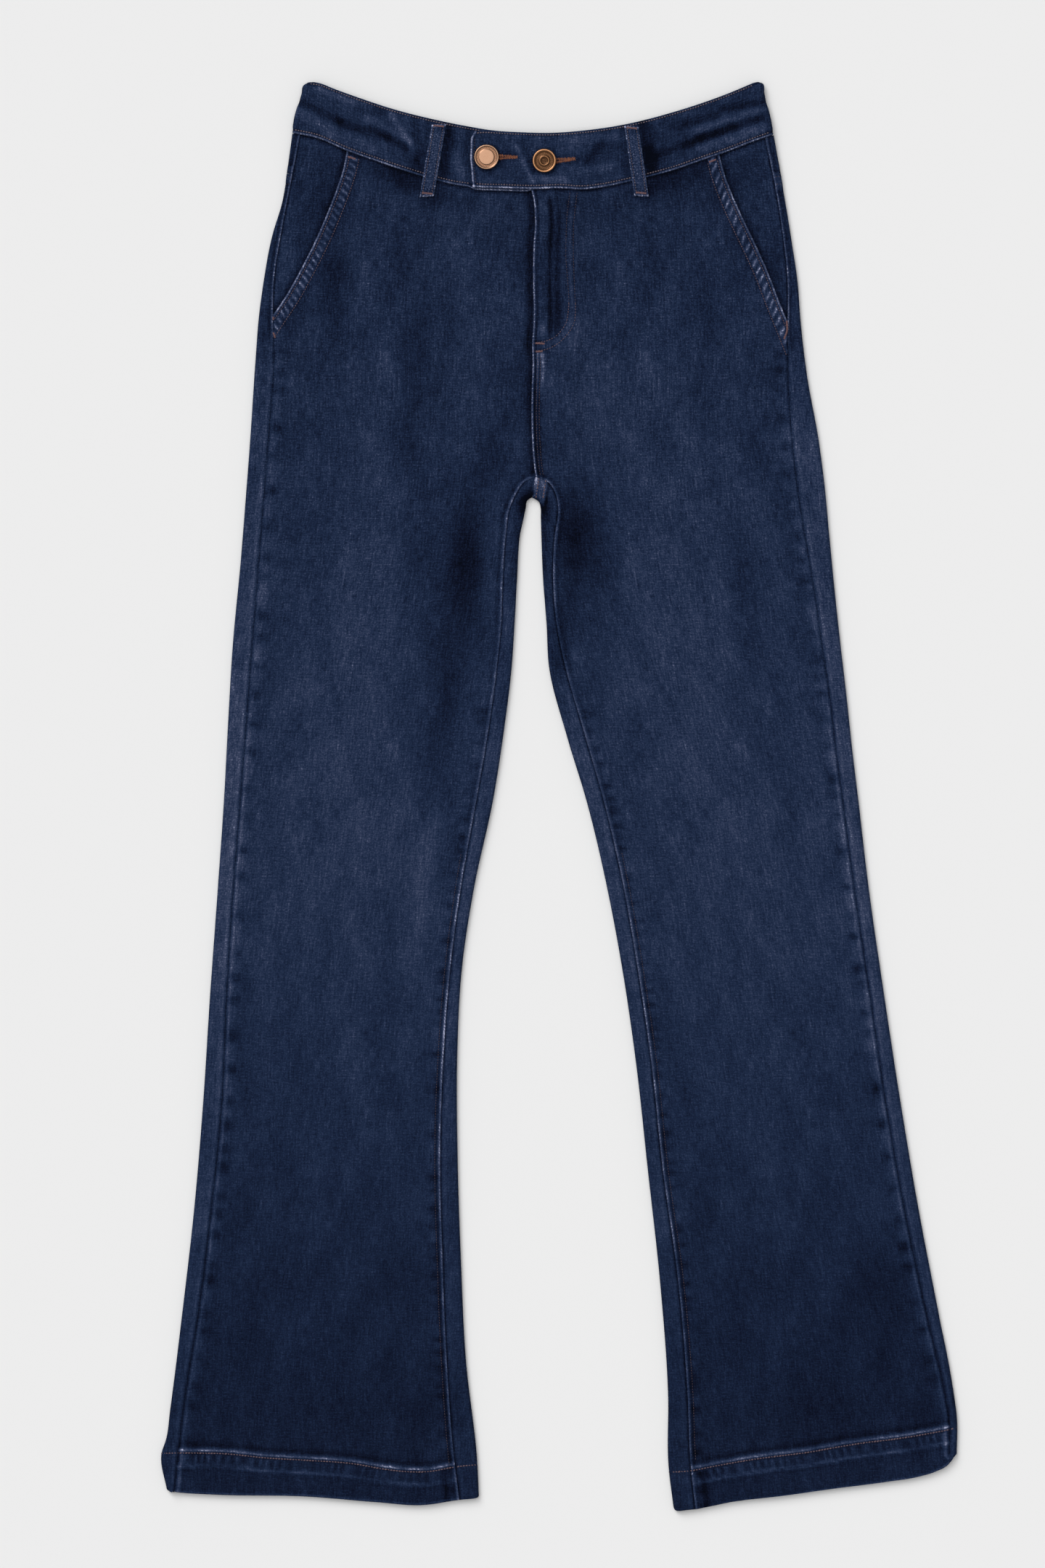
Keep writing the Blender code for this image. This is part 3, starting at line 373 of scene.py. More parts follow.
def ridge(distance, at, half):
    """1 on a line at a distance, falling softly to 0 on both sides."""
    return np.exp(-(((distance - at) / half) ** 2))


def fine_line(rows, x_name="x", y_name="y", key="y", step=2.5, start=None, end=None):
    """A table's curve as points a few millimetres apart."""
    start = getattr(rows[0], key) if start is None else start
    end = getattr(rows[-1], key) if end is None else end
    at = np.linspace(start, end, int(abs(end - start) / step) + 2)
    xs = at if x_name == key else column(rows, x_name, at, key)
    ys = at if y_name == key else column(rows, y_name, at, key)
    return np.stack([xs, ys], axis=-1)


def path_through(points, step=1.0):
    """A smooth path through a few points, in the order given."""
    points = np.array([(point[0], point[1]) for point in points], float)
    run = np.concatenate([[0], np.cumsum(np.hypot(*np.diff(points, axis=0).T))])
    at = np.linspace(0, run[-1], int(run[-1] / step) + 2)
    return np.stack([smooth(at, run, points[:, 0]), smooth(at, run, points[:, 1])], axis=-1)


def beside(line, distance):
    """The same line moved sideways, to the left of its run where the distance is positive."""
    run = np.gradient(line, axis=0)
    run = run / np.hypot(run[:, 0], run[:, 1])[:, None]
    return line + distance * np.stack([-run[:, 1], run[:, 0]], axis=-1)


# %% Distances to a line
MEASURE_CHUNK = 3000


def measure(x, y, line):
    """Distance from the line, the same with + on the left of its run, and the way along it."""
    shape = np.shape(x)
    points = np.stack([np.ravel(x), np.ravel(y)], axis=-1)
    travelled = np.concatenate([[0], np.cumsum(np.hypot(*np.diff(line, axis=0).T))])
    away, side, along = (np.zeros(len(points)) for _ in range(3))
    for first in range(0, len(points), MEASURE_CHUNK):
        part = points[first:first + MEASURE_CHUNK]
        nearest = ((part[:, None, :] - line[None]) ** 2).sum(-1).argmin(1)
        best = np.full(len(part), np.inf)
        for step in (-1, 0):
            k = np.clip(nearest + step, 0, len(line) - 2)
            run = line[k + 1] - line[k]
            offset = part - line[k]
            share = np.clip((offset * run).sum(-1) / (run ** 2).sum(-1), 0, 1)
            miss = offset - share[:, None] * run
            distance = np.hypot(miss[:, 0], miss[:, 1])
            turn = np.sign(run[:, 0] * offset[:, 1] - run[:, 1] * offset[:, 0])
            way = travelled[k] + share * (travelled[k + 1] - travelled[k])
            closer = distance < best
            window = slice(first, first + len(part))
            away[window] = np.where(closer, distance, away[window])
            side[window] = np.where(closer, distance * turn, side[window])
            along[window] = np.where(closer, way, along[window])
            best = np.where(closer, distance, best)
    return away.reshape(shape), side.reshape(shape), along.reshape(shape)


def nearest_of(x, y, lines):
    """The distance to the nearest of several lines."""
    return np.min([measure(x, y, line)[0] for line in lines], axis=0)


# %% [markdown]
# ## Uneven things
#
# Nothing on a washed seam repeats exactly. `bumps` makes the puckers: their spacing, size and strength
# are drawn from a seeded generator, so each run gives the same cloth. `wander` is a slow uneven change.

# %% Uneven spacing
SEAM_LENGTH = 1300.0


def bumps(along, pitch, half, seed):
    """Puckers along a seam, about a pitch apart, each with its own size and strength."""
    draw = np.random.default_rng(seed)
    count = int(SEAM_LENGTH / pitch) + 4
    centres = np.cumsum(pitch * draw.uniform(0.55, 1.45, count)) - pitch
    strength = draw.uniform(0.3, 1.0, count)
    widths = half * draw.uniform(0.7, 1.35, count)
    k = np.clip(np.searchsorted(centres, along), 1, count - 1)
    before = strength[k - 1] * np.exp(-(((along - centres[k - 1]) / widths[k - 1]) ** 2))
    after = strength[k] * np.exp(-(((along - centres[k]) / widths[k]) ** 2))
    return np.maximum(before, after)


def wander(along, scale, seed):
    """A slow, uneven change between -1 and 1."""
    draw = np.random.default_rng(seed)
    knots = np.arange(-2 * scale, SEAM_LENGTH + 2 * scale, scale)
    return smooth(along, knots, draw.uniform(-1, 1, len(knots)))


# %% [markdown]
# ## The plan
#
# These functions say where the garment's lines run. They follow the CAD's rules with finer tables, so the
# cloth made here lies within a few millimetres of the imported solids.

# %% Plan of the garment
BAND_TOP_EASE = 1.4
UNDER_DROP = 1.9
UNDER_DROP_START = -72.0
UNDER_DROP_END = -24.0
TAB_TOP_DROP = 4.2
TAB_TOP_REACH = 6.5


def seam_y(x, sign=1):
    """The band's lower edge. The right half shows a little below the tab that laps over it."""
    drop = 0.0
    if sign < 0:
        drop = UNDER_DROP * ease((x - UNDER_DROP_START) / 6) * ease((UNDER_DROP_END + 4 - x) / 6)
    return column(BAND_SEAM, "y", x, "x") - drop


def band_top_y(x, sign=-1):
    """The band's upper edge. The tab's corner lies a little lower than the half below it."""
    drop = 0.0
    if sign > 0:
        drop = TAB_TOP_DROP * np.exp(-np.clip(x - TAB_END[0].x, 0, None) / TAB_TOP_REACH)
    return column(BAND_TOP, "y", x, "x") + BAND_TOP_EASE - drop


def inner_level(leg, y):
    """The level read in the inner table: it slides a little where the hem's sewn row needs it."""
    return y + leg.hem_slide * ease(1 - np.abs(y - leg.hem_y) / 34)


def hem_bow(leg, y, share):
    """How far a row near the hem follows the curve of the sewn row and of the hem's edge."""
    def bow(rows):
        ends = rows if leg.sign < 0 else rows[::-1]
        x = lerp(ends[0].x, ends[-1].x, share)
        return column(rows, "y", x, "x") - lerp(ends[0].y, ends[-1].y, share)

    last = leg.side[-1].y
    down = np.clip((leg.hem_y - y) / (leg.hem_y - last), 0, 1)
    fade = ease(1 - (y - leg.hem_y) / HEM_BOW_REACH)
    return lerp(bow(leg.hem_row), bow(leg.hem), down) * fade


def corner_inset(leg, y):
    """How far the hem's rounded corner draws a fold in."""
    left = 1 - np.clip((y - leg.side[-1].y) / HEM_CORNER, 0, 1)
    return HEM_CORNER * (1 - math.sqrt(1 - left ** 2))


def side_fold(leg, y):
    """The side fold's point at y, and its outward direction. The left hem rounds its own corner there."""
    x = column(leg.side, "fold", y) + (corner_inset(leg, y) if leg.sign < 0 else 0.0)
    slope = column(leg.side, "fold", y + 1.0) - column(leg.side, "fold", y - 1.0)
    outward = np.array([1.0, -slope / 2]) * leg.sign
    return np.array([x, y]), outward / np.linalg.norm(outward)


def inner_fold(leg, y):
    """The inner fold's point for the row that starts at y, and its outward direction."""
    level = inner_level(leg, y)
    inset = leg.sign * corner_inset(leg, y)
    point = np.array([column(leg.inner, "fold_x", level) + inset, column(leg.inner, "fold_y", level)])
    if level >= leg.inner[0].y:
        return point, np.array([0.0, -1.0])
    ahead = np.array([column(leg.inner, "fold_x", level - 1), column(leg.inner, "fold_y", level - 1)])
    behind = np.array([column(leg.inner, "fold_x", level + 1), column(leg.inner, "fold_y", level + 1)])
    run = ahead - behind
    outward = np.array([-run[1], run[0]]) * -leg.sign
    outward = outward / np.linalg.norm(outward)
    if outward[0] * leg.sign > 0:
        outward = -outward
    return point, outward


def row_share(leg, y, x):
    """How far x is along the row that starts at the side fold at y."""
    start = column(leg.side, "fold", y)
    return (x - start) / (column(leg.inner, "fold_x", inner_level(leg, y)) - start)


def row_level(leg, y, x):
    """The y of that row at a given x."""
    share = row_share(leg, y, x)
    return lerp(y, column(leg.inner, "fold_y", inner_level(leg, y)), share) + hem_bow(leg, y, share)


def outseam_x(leg, y):
    return column(leg.side, "outseam", y)


def centre_edge(leg, y):
    """The x of a front's centre edge: the left one is the fly, the right one runs on under it."""
    fly = column(FLY_EDGE, "x", y)
    if leg.sign > 0:
        return fly
    return fly + lerp(-GAP, FLY_UNDERLAP, ease((y - UNDERLAP_END) / UNDERLAP_TAPER))


def inseam_line(leg):
    """The front's inner edge from the crotch to the hem."""
    upper, lower = np.linspace(CROTCH_LEVEL, DROP_END, 60), np.linspace(DROP_END - 2, leg.side[-1].y, 380)
    points = []
    for y in np.concatenate([upper, lower]):
        level = inner_level(leg, y)
        x = column(leg.inner, "inseam", level)
        drop = column(leg.inner, "drop", level)
        share = (x - column(leg.side, "fold", y)) / (
            column(leg.inner, "fold_x", level) - column(leg.side, "fold", y)
        )
        points.append((x, row_level(leg, y, x) + drop * max(share, 0)))
    return np.array(points)


CROTCH = np.array([-18.6, 251.4])
FOLD_LINES = [fine_line(leg.side, "fold", "y") for leg in LEGS]
FOLD_LINES += [fine_line(leg.inner, "fold_x", "fold_y") for leg in LEGS]
HEM_EDGE = {leg.name: fine_line(leg.hem, key="x") for leg in LEGS}
MOUTH = {leg.name: fine_line(leg.mouth) for leg in LEGS}
MOUTH_ON = {leg.name: fine_line(leg.mouth, end=leg.pocket_end - 30) for leg in LEGS}
OUTSEAM = {leg.name: fine_line(leg.side, "outseam", "y") for leg in LEGS}
OUTSEAM_BELOW = {leg.name: fine_line(leg.side, "outseam", "y", start=leg.pocket_end) for leg in LEGS}
INSEAM = {leg.name: inseam_line(leg) for leg in LEGS}
HEM_ROW = {leg.name: fine_line(leg.hem_row, key="x") for leg in LEGS}
FLY = fine_line(FLY_EDGE)
FLY_OUTER = path_through(FLY_OUTER_ROW)
FLY_INNER = path_through(FLY_INNER_ROW)
for name, line in INSEAM.items():
    print("inseam", name, round(float(np.hypot(*np.diff(line, axis=0).T).sum())), "mm")


# %% [markdown]
# ## Heights
#
# The jeans are two layers of cloth on a table, thickest at the folds, the band and the hems. The fronts
# stand higher where they lie on a pocket's facing, and the left one where it laps over the fly.

# %% Height of each layer
def crease_height(x, y, creases):
    """The sum of the broad ridges and troughs at a place."""
    total = np.zeros_like(x)
    for crease in creases:
        run = np.array([crease.x1 - crease.x0, crease.y1 - crease.y0], float)
        share = ((x - crease.x0) * run[0] + (y - crease.y0) * run[1]) / (run ** 2).sum()
        held = np.clip(share, 0, 1)
        away = np.hypot(x - crease.x0 - held * run[0], y - crease.y0 - held * run[1])
        total += crease.height * ease(1 - away / crease.width)
    return total


def top_height(x, y):
    """The outer top surface of the strips and the pockets' facings."""
    x, y = np.broadcast_arrays(np.asarray(x, float), np.asarray(y, float))
    fold_share = ease(1 - nearest_of(x, y, FOLD_LINES) / FOLD_REACH)
    height = lerp(PANEL_HEIGHT, FOLD_HEIGHT, fold_share)
    height = height + crease_height(x, y, CREASES) * (1 - fold_share)
    crotch = np.hypot(x - CROTCH[0], y - CROTCH[1])
    height = height + CROTCH_RISE * ease(1 - crotch / CROTCH_REACH) * (1 - fold_share)
    turned = ease(2 - nearest_of(x, y, HEM_EDGE.values()) / (HEM_DEPTH + HEM_LEDGE))
    height = lerp(height, FOLD_HEIGHT, turned)
    return lerp(height, BAND_SEAM_HEIGHT, ease(1 - (seam_y(x) - y) / BAND_RAMP))


def floor_height(x, y):
    """The underside, which clears the back belt loops close to the band."""
    share = (BACK_RAMP_END - (seam_y(x) - y)) / (BACK_RAMP_END - BACK_RAMP_START)
    return BACK_BAND_FLOOR * ease(share)


def fly_lift(x, y):
    """How far the left front stands above the right one where it laps over it."""
    zipped = LAYER_GAP + ZIP_CLOTH + GAP + CLOTH
    plain = LAYER_GAP + CLOTH
    lift = lerp(plain, zipped, ease((y - ZIP_END + ZIP_STEP_START) / ZIP_STEP))
    lift = lift * ease((y - UNDERLAP_END + LAP_STEP_START) / LAP_STEP)
    return lift * ease(1 - (x - CENTRE_FRONT - FLY_FLAT) / FLY_FALL)


def front_height(leg, x, y):
    """The outer surface of a front panel."""
    x, y = np.broadcast_arrays(np.asarray(x, float), np.asarray(y, float))
    mouth = measure(x, y, MOUTH[leg.name])[0]
    over_facing = (LAYER_GAP + CLOTH) * ease(1 - (mouth - FLAT_OVER_FACING) / LIFT_FALL)
    band = FRONT_BAND_LIFT * ease(1 - (seam_y(x) - y) / BAND_RAMP)
    lift = np.maximum(over_facing, band)
    if leg.sign > 0:
        lift = lift + fly_lift(x, y)
    return top_height(x, y) + lift


# %% [markdown]
# ## Relief, wear and painted shade
#
# One object gathers what a panel's plain form lacks. `lift` moves the cloth out or in, in millimetres.
# One more number says how pale or dark the cloth is drawn: the dye's own wear, with painted shade in seam
# gaps, troughs and hollows and beside raised parts, and painted light where a strip rounds over a fold.
# `edge` marks the twisted ridge of a felled seam, and `roping` the slanting ripples that washing leaves
# beside stitches. `across`, `along` and `pitch` tell the material where those ripples run. In
# `ridge(away, 2.5, 1.3)` the numbers are millimetres: how far from the seam, and half how wide. `soften`
# takes a shape, its height in millimetres and its wear and painted shading, and `ridges` takes several rows
# of those four numbers.

# %% Relief of a panel
THREAD_HOLLOW = 0.12
THREAD_SHADE = 0.16


class Relief:
    """Everything that a panel's surface adds to its plain form, one number for each point."""

    def __init__(self, x, y):
        self.x = x
        self.y = y
        self.lift = np.zeros(x.shape)
        self.wear = np.zeros(x.shape)
        self.edge = np.zeros(x.shape)
        self.roping = np.zeros(x.shape)
        self.across = np.zeros(x.shape)
        self.along = np.zeros(x.shape)
        self.pitch = np.full(x.shape, 5.0)

    def soften(self, shape, high, wear):
        """A soft ridge or trough, with its wear and painted shading."""
        self.lift += high * shape
        self.wear += wear * shape

    def ridges(self, distance, share, *rows):
        """Ridges and troughs beside a line, each with its place, half width, height, and wear and painted
        shading.
        """
        for at, half, high, wear in rows:
            self.soften(ridge(distance, at, half) * share, high, wear)

    def beside(self, line):
        """Each point's distance from a line, the side it lies on, and its way along."""
        return measure(self.x, self.y, line)

    def worn_edge(self, across, along, shape, high=0.3):
        """A rubbed seam ridge, where the pale twist of the cloth shows."""
        stronger = shape > self.edge
        self.across = np.where(stronger, across, self.across)
        self.along = np.where(stronger, along, self.along)
        self.edge = np.maximum(self.edge, shape)
        self.lift += high * shape

    def ropes(self, across, along, shape, pitch, high):
        """Slanting ripples beside a seam."""
        stronger = (shape > self.roping) & (self.edge < 0.15)
        self.across = np.where(stronger, across, self.across)
        self.along = np.where(stronger, along, self.along)
        self.pitch = np.where(stronger, pitch, self.pitch)
        self.roping = np.maximum(self.roping, shape)
        wave = np.cos(2 * np.pi * (along + across) / pitch)
        self.lift += high * shape * wave

    def thread_row(self, distance, half=0.9):
        """The hollow that a row of stitches pulls into the cloth, darkened with painted shade."""
        self.soften(ridge(distance, 0, half), -THREAD_HOLLOW, -THREAD_SHADE)


def add_tones(relief, leg):
    """Soft patches of wear and of painted shade, and how much paler or darker each level of the leg is drawn.
    """
    relief.wear += np.interp(
        relief.y, [level.y for level in leg.levels[::-1]], [level.wear for level in leg.levels[::-1]]
    )
    # Dark tones are mostly painted shade in the troughs of soft folds, near the crotch and inner thighs; pale
    # tones are wear.
    for tone in TONES:
        turn = math.radians(tone.lean)
        dx, dy = relief.x - tone.x, relief.y - tone.y
        wide = (dx * math.cos(turn) - dy * math.sin(turn)) / tone.wide
        long = (dx * math.sin(turn) + dy * math.cos(turn)) / tone.long
        relief.wear += tone.amount * np.exp(-0.5 * (wide ** 2 + long ** 2))
    # Crease crests are drawn paler as wear, and their troughs darker as painted shade.
    relief.wear += 0.03 * crease_height(relief.x, relief.y, CREASES)


# %% [markdown]
# A front panel meets five kinds of seam. The outseam and inseam are felled and pucker at uneven steps.
# The pocket mouth is a folded edge with a second row of thread a finger's breadth in. The fly's edge is
# the most rubbed of all, and the hem ropes where its two edges shrank by different amounts.

# %% Seams of the fronts
POCKET_ROWS = (2.8, 10.6)
RISE_ROWS = (3.9, 6.2)
INSEAM_ROW = 4.4
INSEAM_ROW_START = -45
INSEAM_ROW_END = -526


def outseam_relief(relief, leg, seed):
    away, _, along = relief.beside(OUTSEAM_BELOW[leg.name])
    below = ease((leg.pocket_end - relief.y) / 12)
    lower = ease((110 - relief.y) / 90)
    puckers = bumps(along, 21, 3.8, seed)
    # The seam's groove and gap are drawn dark: painted shade, with some dye held there.
    relief.soften(ridge(away, 0, 1.0) * below, -0.25, -0.14)
    relief.soften(ridge(away, 2.5, 1.3) * below * lerp(0.3, 1, lower), 0.2, 0.18)
    above_hem = ease((relief.y - leg.hem_y - 4) / 16)
    relief.soften(puckers * ridge(away, 6.2, 4.8) * below * above_hem, -0.35, -0.24)
    relief.soften((1 - puckers) * ridge(away, 5, 3.5) * below, 0.1, 0.09)
    relief.soften(bumps(along, 34, 9, seed + 1) * ridge(away, 14, 9) * below, -0.2, -0.03)


def inseam_relief(relief, leg, seed):
    away, _, along = relief.beside(INSEAM[leg.name])
    grow = lerp(0.5, 1, ease((80 - relief.y) / 260)) + 0.35 * ease((relief.y - 120) / 60)
    uneven = 0.75 + 0.25 * wander(along, 9, seed)
    rubbed = 0.86 if leg.sign > 0 else 0.95
    relief.worn_edge(away, along, rubbed * ridge(away, 0.8, 1.0) * grow * uneven)
    # The trough beside the ridge and the groove of the row are darkened with painted shade.
    relief.ridges(away, grow, (3.0, 0.9, -0.2, -0.14), (INSEAM_ROW, 0.8, -0.15, -0.12))
    puckers = bumps(along, 12.5, 2.8, seed + 2)
    below = ease((110 - relief.y) / 60)
    relief.soften(puckers * ridge(away, 6.0, 4.0) * below, -0.35, -0.24)
    relief.soften((1 - puckers) * ridge(away, 6.5, 4) * below, 0.1, 0.06)


def mouth_relief(relief, leg, seed):
    away, side, along = relief.beside(MOUTH_ON[leg.name])
    inside = side * -leg.sign > -0.2
    away = np.where(inside, away, 60.0)
    short = ease((relief.y - leg.pocket_end + 2) / 5)
    uneven = 0.85 + 0.15 * wander(along, 8, seed)
    rubbed = 0.50 if leg.sign < 0 else 0.42
    relief.soften(ridge(away, 0.7, 0.8) * short * uneven, 0.12, rubbed)
    relief.lift -= 0.55 * np.clip(1 - away / 1.1, 0, 1) ** 2 * short
    relief.thread_row(away - POCKET_ROWS[0], 0.7)
    relief.thread_row(away - POCKET_ROWS[1], 1.1)
    band = ease((away - 2.9) / 1.2) * ease((10.6 - away) / 1.6)
    lean = 0.83 if leg.sign > 0 else 0.38
    pitch = 7.2 if leg.sign > 0 else 5.3
    strength = 0.85 if leg.sign > 0 else 0.7
    relief.ropes(-lean * away, along, band * (strength + 0.2 * wander(along, 11, seed + 1)), pitch, 0.14)
    relief.soften(band, 0.05, 0.09)
    relief.soften(ridge(away, 13.5, 2.2), -0.15, -0.03)


def band_seam_relief(relief, sign):
    below = seam_y(relief.x, sign) - relief.y
    # The first row is a painted shadow on the front right under the band's ledge.
    relief.ridges(below, 1, (0, 2.0, -0.1, -0.26), (4.5, 3.0, 0.1, 0.03))
    slanted = bumps(relief.x + 260 + below * 0.8, 26, 7, 40)
    relief.soften(slanted * ridge(below, 9, 7), -0.2, -0.06)
    # Painted shade lies beside each front loop under the band, deepest on the side away from the centre.
    for loop in LOOPS[:2]:
        beside_loop = np.hypot(relief.x - loop.x_low - 5, relief.y - loop.y_low - 1)
        relief.soften(ease(1 - beside_loop / 17), 0, -0.1)
        past = (relief.x - loop.x_low) * math.copysign(1, loop.x_low)
        relief.soften(ridge(past, 18, 26) * ridge(below, 4, 12), -0.3, -0.24)


def hem_relief(relief, leg, seed):
    _, signed, along = relief.beside(HEM_ROW[leg.name])
    edge = relief.beside(HEM_EDGE[leg.name])[0]
    zigzag = 0.2 * wander(along, 3.3, seed) + 0.12 * np.sin(along * 2 * np.pi / 6.6)
    near = ease((30 - np.abs(signed)) / 10)
    relief.lift += 0.35 * ease((0.6 - signed) / 1.4) * near
    uneven = 0.75 + 0.25 * wander(along, 7, seed + 3)
    relief.worn_edge(signed, along, 0.75 * ridge(signed, 2.0 + zigzag, 0.8) * uneven, 0.28)
    relief.soften(ridge(signed, 2.8 + zigzag, 1.7) * uneven, 0.1, 0.27)
    relief.soften(bumps(along, 3.4, 0.8, seed + 9) * ridge(signed, 3.2, 2.6), 0.05, 0.09)
    relief.thread_row(signed)
    # The troughs beside the sewn row and near the seams are darkened: painted shade, with some dye held
    # there.
    relief.soften(ridge(signed, 6.3, 2.4), -0.25, -0.13)
    irregular = along + 4.5 * wander(along, 12, seed + 4)
    strength = 0.6 + 0.4 * wander(along, 21, seed + 8)
    fade = ease((-0.9 - signed) / 1.2) * ease((signed + 10.5) / 6)
    relief.ropes(leg.sign * signed * 0.12, irregular, 0.6 * fade * strength, 7.2, 0.15)
    relief.soften(fade, 0, 0.02)
    uneven = 0.65 + 0.35 * wander(along, 18, seed + 5)
    relief.soften(ridge(signed, -10.0 + 3 * zigzag, 1.5) * uneven, 0.15, 0.34)
    relief.soften(ridge(signed, -12.6, 1.6), -0.1, -0.05)
    inner = relief.beside(INSEAM[leg.name])[0]
    turned = ease((-0.5 - signed) / 1.5)
    relief.ridges(inner, turned, (3.2, 1.8, 0.15, 0.1), (9.3, 2.8, -0.35, -0.24))
    outer = relief.beside(OUTSEAM[leg.name])[0]
    relief.soften(ridge(outer, 3.4, 1.2) * ease((22 - np.abs(signed + 12)) / 10), 0.2, 0.13)
    relief.soften(ridge(outer, 6.6, 2.0) * turned, -0.25, -0.08)
    relief.soften(ridge(edge, 0.9, 0.8), 0, 0.24)
    relief.lift -= 0.4 * np.clip(1 - edge / 1.2, 0, 1) ** 2
    relief.soften(bumps(along + 0.6 * signed, 29, 5, seed + 6) * ridge(signed, -7, 7), -0.2, -0.07)
    relief.soften(bumps(along - 0.4 * signed, 23, 6, seed + 7) * ridge(signed, 8, 6), -0.2, -0.05)


def fly_relief(relief):
    """The left front's lap: the rubbed edge, the zip's ridge below it, and the J of stitches, with painted
    shade in its troughs and hollow.
    """
    away, _, along = relief.beside(FLY)
    uneven = 0.85 + 0.15 * wander(along, 9, 71)
    relief.worn_edge(away, along, 0.92 * ridge(away, 0.7, 0.75) * uneven, 0.2)
    relief.lift -= 0.6 * np.clip(1 - away / 1.2, 0, 1) ** 2
    relief.soften(ridge(away, 6.5, 4.5) * ridge(relief.y, 463, 20), 0.1, 0.13)
    # A line of painted shade lies in the hollow beside the edge.
    relief.soften(ridge(away, 2.7, 1.1), -0.15, -0.22)
    zipped = ease((relief.y - 360) / 10)
    raised = ease((away - 2.8) / 1) * ease((10.9 - away) / 0.8) * zipped * ease((472 - relief.y) / 12)
    levels = [358, 375, 392, 408, 430, 442, 468]
    # Along its length the ridge is drawn paler or darker in bands.
    tone_by_height = np.interp(relief.y, levels, [0.12, 0.01, 0.0, -0.13, -0.13, -0.02, 0.03])
    relief.soften(raised, 0.3, tone_by_height + 0.02 * wander(along, 5, 72))
    relief.soften(raised * (ridge(relief.y, 422, 3) + ridge(relief.y, 412.5, 2)), 0.1, 0.07)
    # The trough beyond the zip's ridge and the hollow below it are darkened with painted shade.
    relief.soften(ridge(away, 12.8, 1.5) * zipped * ease((476 - relief.y) / 10), -0.4, -0.30)
    hollow = ease((away - 12) / 2) * ease((24 - away) / 4) * ease((464 - relief.y) / 20)
    relief.soften(hollow * zipped, -0.2, -0.16)
    relief.soften(ridge(away, 15.6 + 0.6 * wander(along, 30, 73), 1.1) * zipped, 0.2, 0.1)
    relief.soften(ridge(away, 18.8, 1.3) * zipped * ease((475 - relief.y) / 20), -0.25, -0.1)
    for across, strength in ((5.5, 1.0), (9.0, 0.6)):
        spots = bumps(along, 24, 5, 74 + int(across))
        relief.soften(spots * ridge(away, across, 2.6) * zipped, -0.2, -0.1 * strength)
    outer = relief.beside(FLY_OUTER)[0]
    inner = relief.beside(FLY_INNER)[0]
    relief.thread_row(outer, 0.8)
    relief.thread_row(inner, 0.8)
    relief.soften(ridge(outer, 2.8, 1.5) * ridge(inner, 3.0, 1.8), 0.2, 0.09)
    relief.soften(ridge(outer, 2.2, 1.0) * (1 - ridge(inner, 3, 3)), 0.1, 0.07)
    rise = ease((346 - relief.y) / 5)
    worn = ease((352 - relief.y) / 6) * ease((relief.y - 302) / 42)
    relief.ridges(away, worn, (4.0, 1.0, 0.25, 0.42), (8.0, 1.3, 0.25, 0.48))
    relief.ridges(away, rise, (2.3, 0.8, -0.2, -0.16), (5.8, 1.1, -0.25, -0.18))
    relief.soften(ease((away - 1.6) / 1) * ease((9.4 - away) / 2) * rise * (1 - worn), -0.1, -0.11)
    relief.soften(ridge(away, 8.2, 3.4) * ridge(relief.y, 368, 7), 0.2, 0.22)


def beside_fly_relief(relief):
    """The right front next to the fly's edge lies in its shade."""
    away = relief.beside(FLY)[0]
    lapped = ease((relief.y - 340) / 14)
    relief.soften(lerp(0.8 * ridge(away, 0, 5.2), ease((6.8 - away) / 3.4), lapped), 0, -0.27)
    rise = ease((346 - relief.y) / 10)
    relief.soften(ridge(away, 1.0, 1.4) * rise, -0.25, -0.1)


# %% [markdown]
# ## Grids into cloth
#
# A panel is drawn as a grid of points with fine steps beside its seams. `cloth` lifts each point along
# the surface's own normal, joins the points with quads, and gives the sheet its thickness with Solidify,
# so every panel is a closed shell with its faces outwards.

# %% Grid helpers
OUTER_STEPS = [0, 0.4, 0.8, 1.2, 1.6, 2.1, 2.7, 3.5, 4.5, 5.7, 7.1, 8.7, 10.3, 11.6, 13, 15]
INNER_STEPS = [0, 0.4, 0.8, 1.2, 1.6, 2.1, 2.7, 3.4, 4.2, 5.0, 6.0, 7.2, 8.6, 10.2, 11.8, 13.2, 14.6, 16,
               17.6, 19.5, 21.5, 23.5, 25.2, 26.9, 28.6, 30.3, 32, 33.7, 36]
STRIP_STEPS = [0, 0.35, 0.7, 1.05, 1.4, 1.9, 2.5, 3.2]
MIDDLE_COLUMNS = 46
MOUTH_ROWS = 112
HIP_STEP = 2.8
CROTCH_STEP = 0.85
LEG_STEP = 3.5
FOLD_STEPS = 10
FLOOR_COLUMNS = 15


def across_shares(width, outer, inner, middle):
    """Shares of a width: fine steps in from both edges, in mm, and even ones between."""
    inner = np.array(inner[::-1], float)
    even = np.linspace(outer[-1], width - inner[0], middle + 2)[1:-1]
    return np.concatenate([outer, even, width - inner]) / width


def leg_rows(leg):
    """Levels from the crotch to the hem: close together at the crotch and round the hem."""
    last, sewn = leg.side[-1].y, leg.hem_y
    crotch = np.arange(CROTCH_LEVEL, DROP_END, -CROTCH_STEP)
    plain = np.linspace(DROP_END, sewn + 12, int((DROP_END - sewn - 12) / LEG_STEP))
    hem = np.arange(sewn + 11, sewn - 4, -0.75)
    turned = np.linspace(sewn - 4, last + 3, 12)
    edge = last + np.array([2.2, 1.5, 0.9, 0.4, 0])
    return np.unique(np.round(np.concatenate([crotch, plain, hem, turned, edge]), 3))[::-1]


def hip_rows(top):
    """Levels from the hip to the crotch."""
    return np.linspace(top, CROTCH_LEVEL + CROTCH_STEP, int((top - CROTCH_LEVEL) / HIP_STEP))


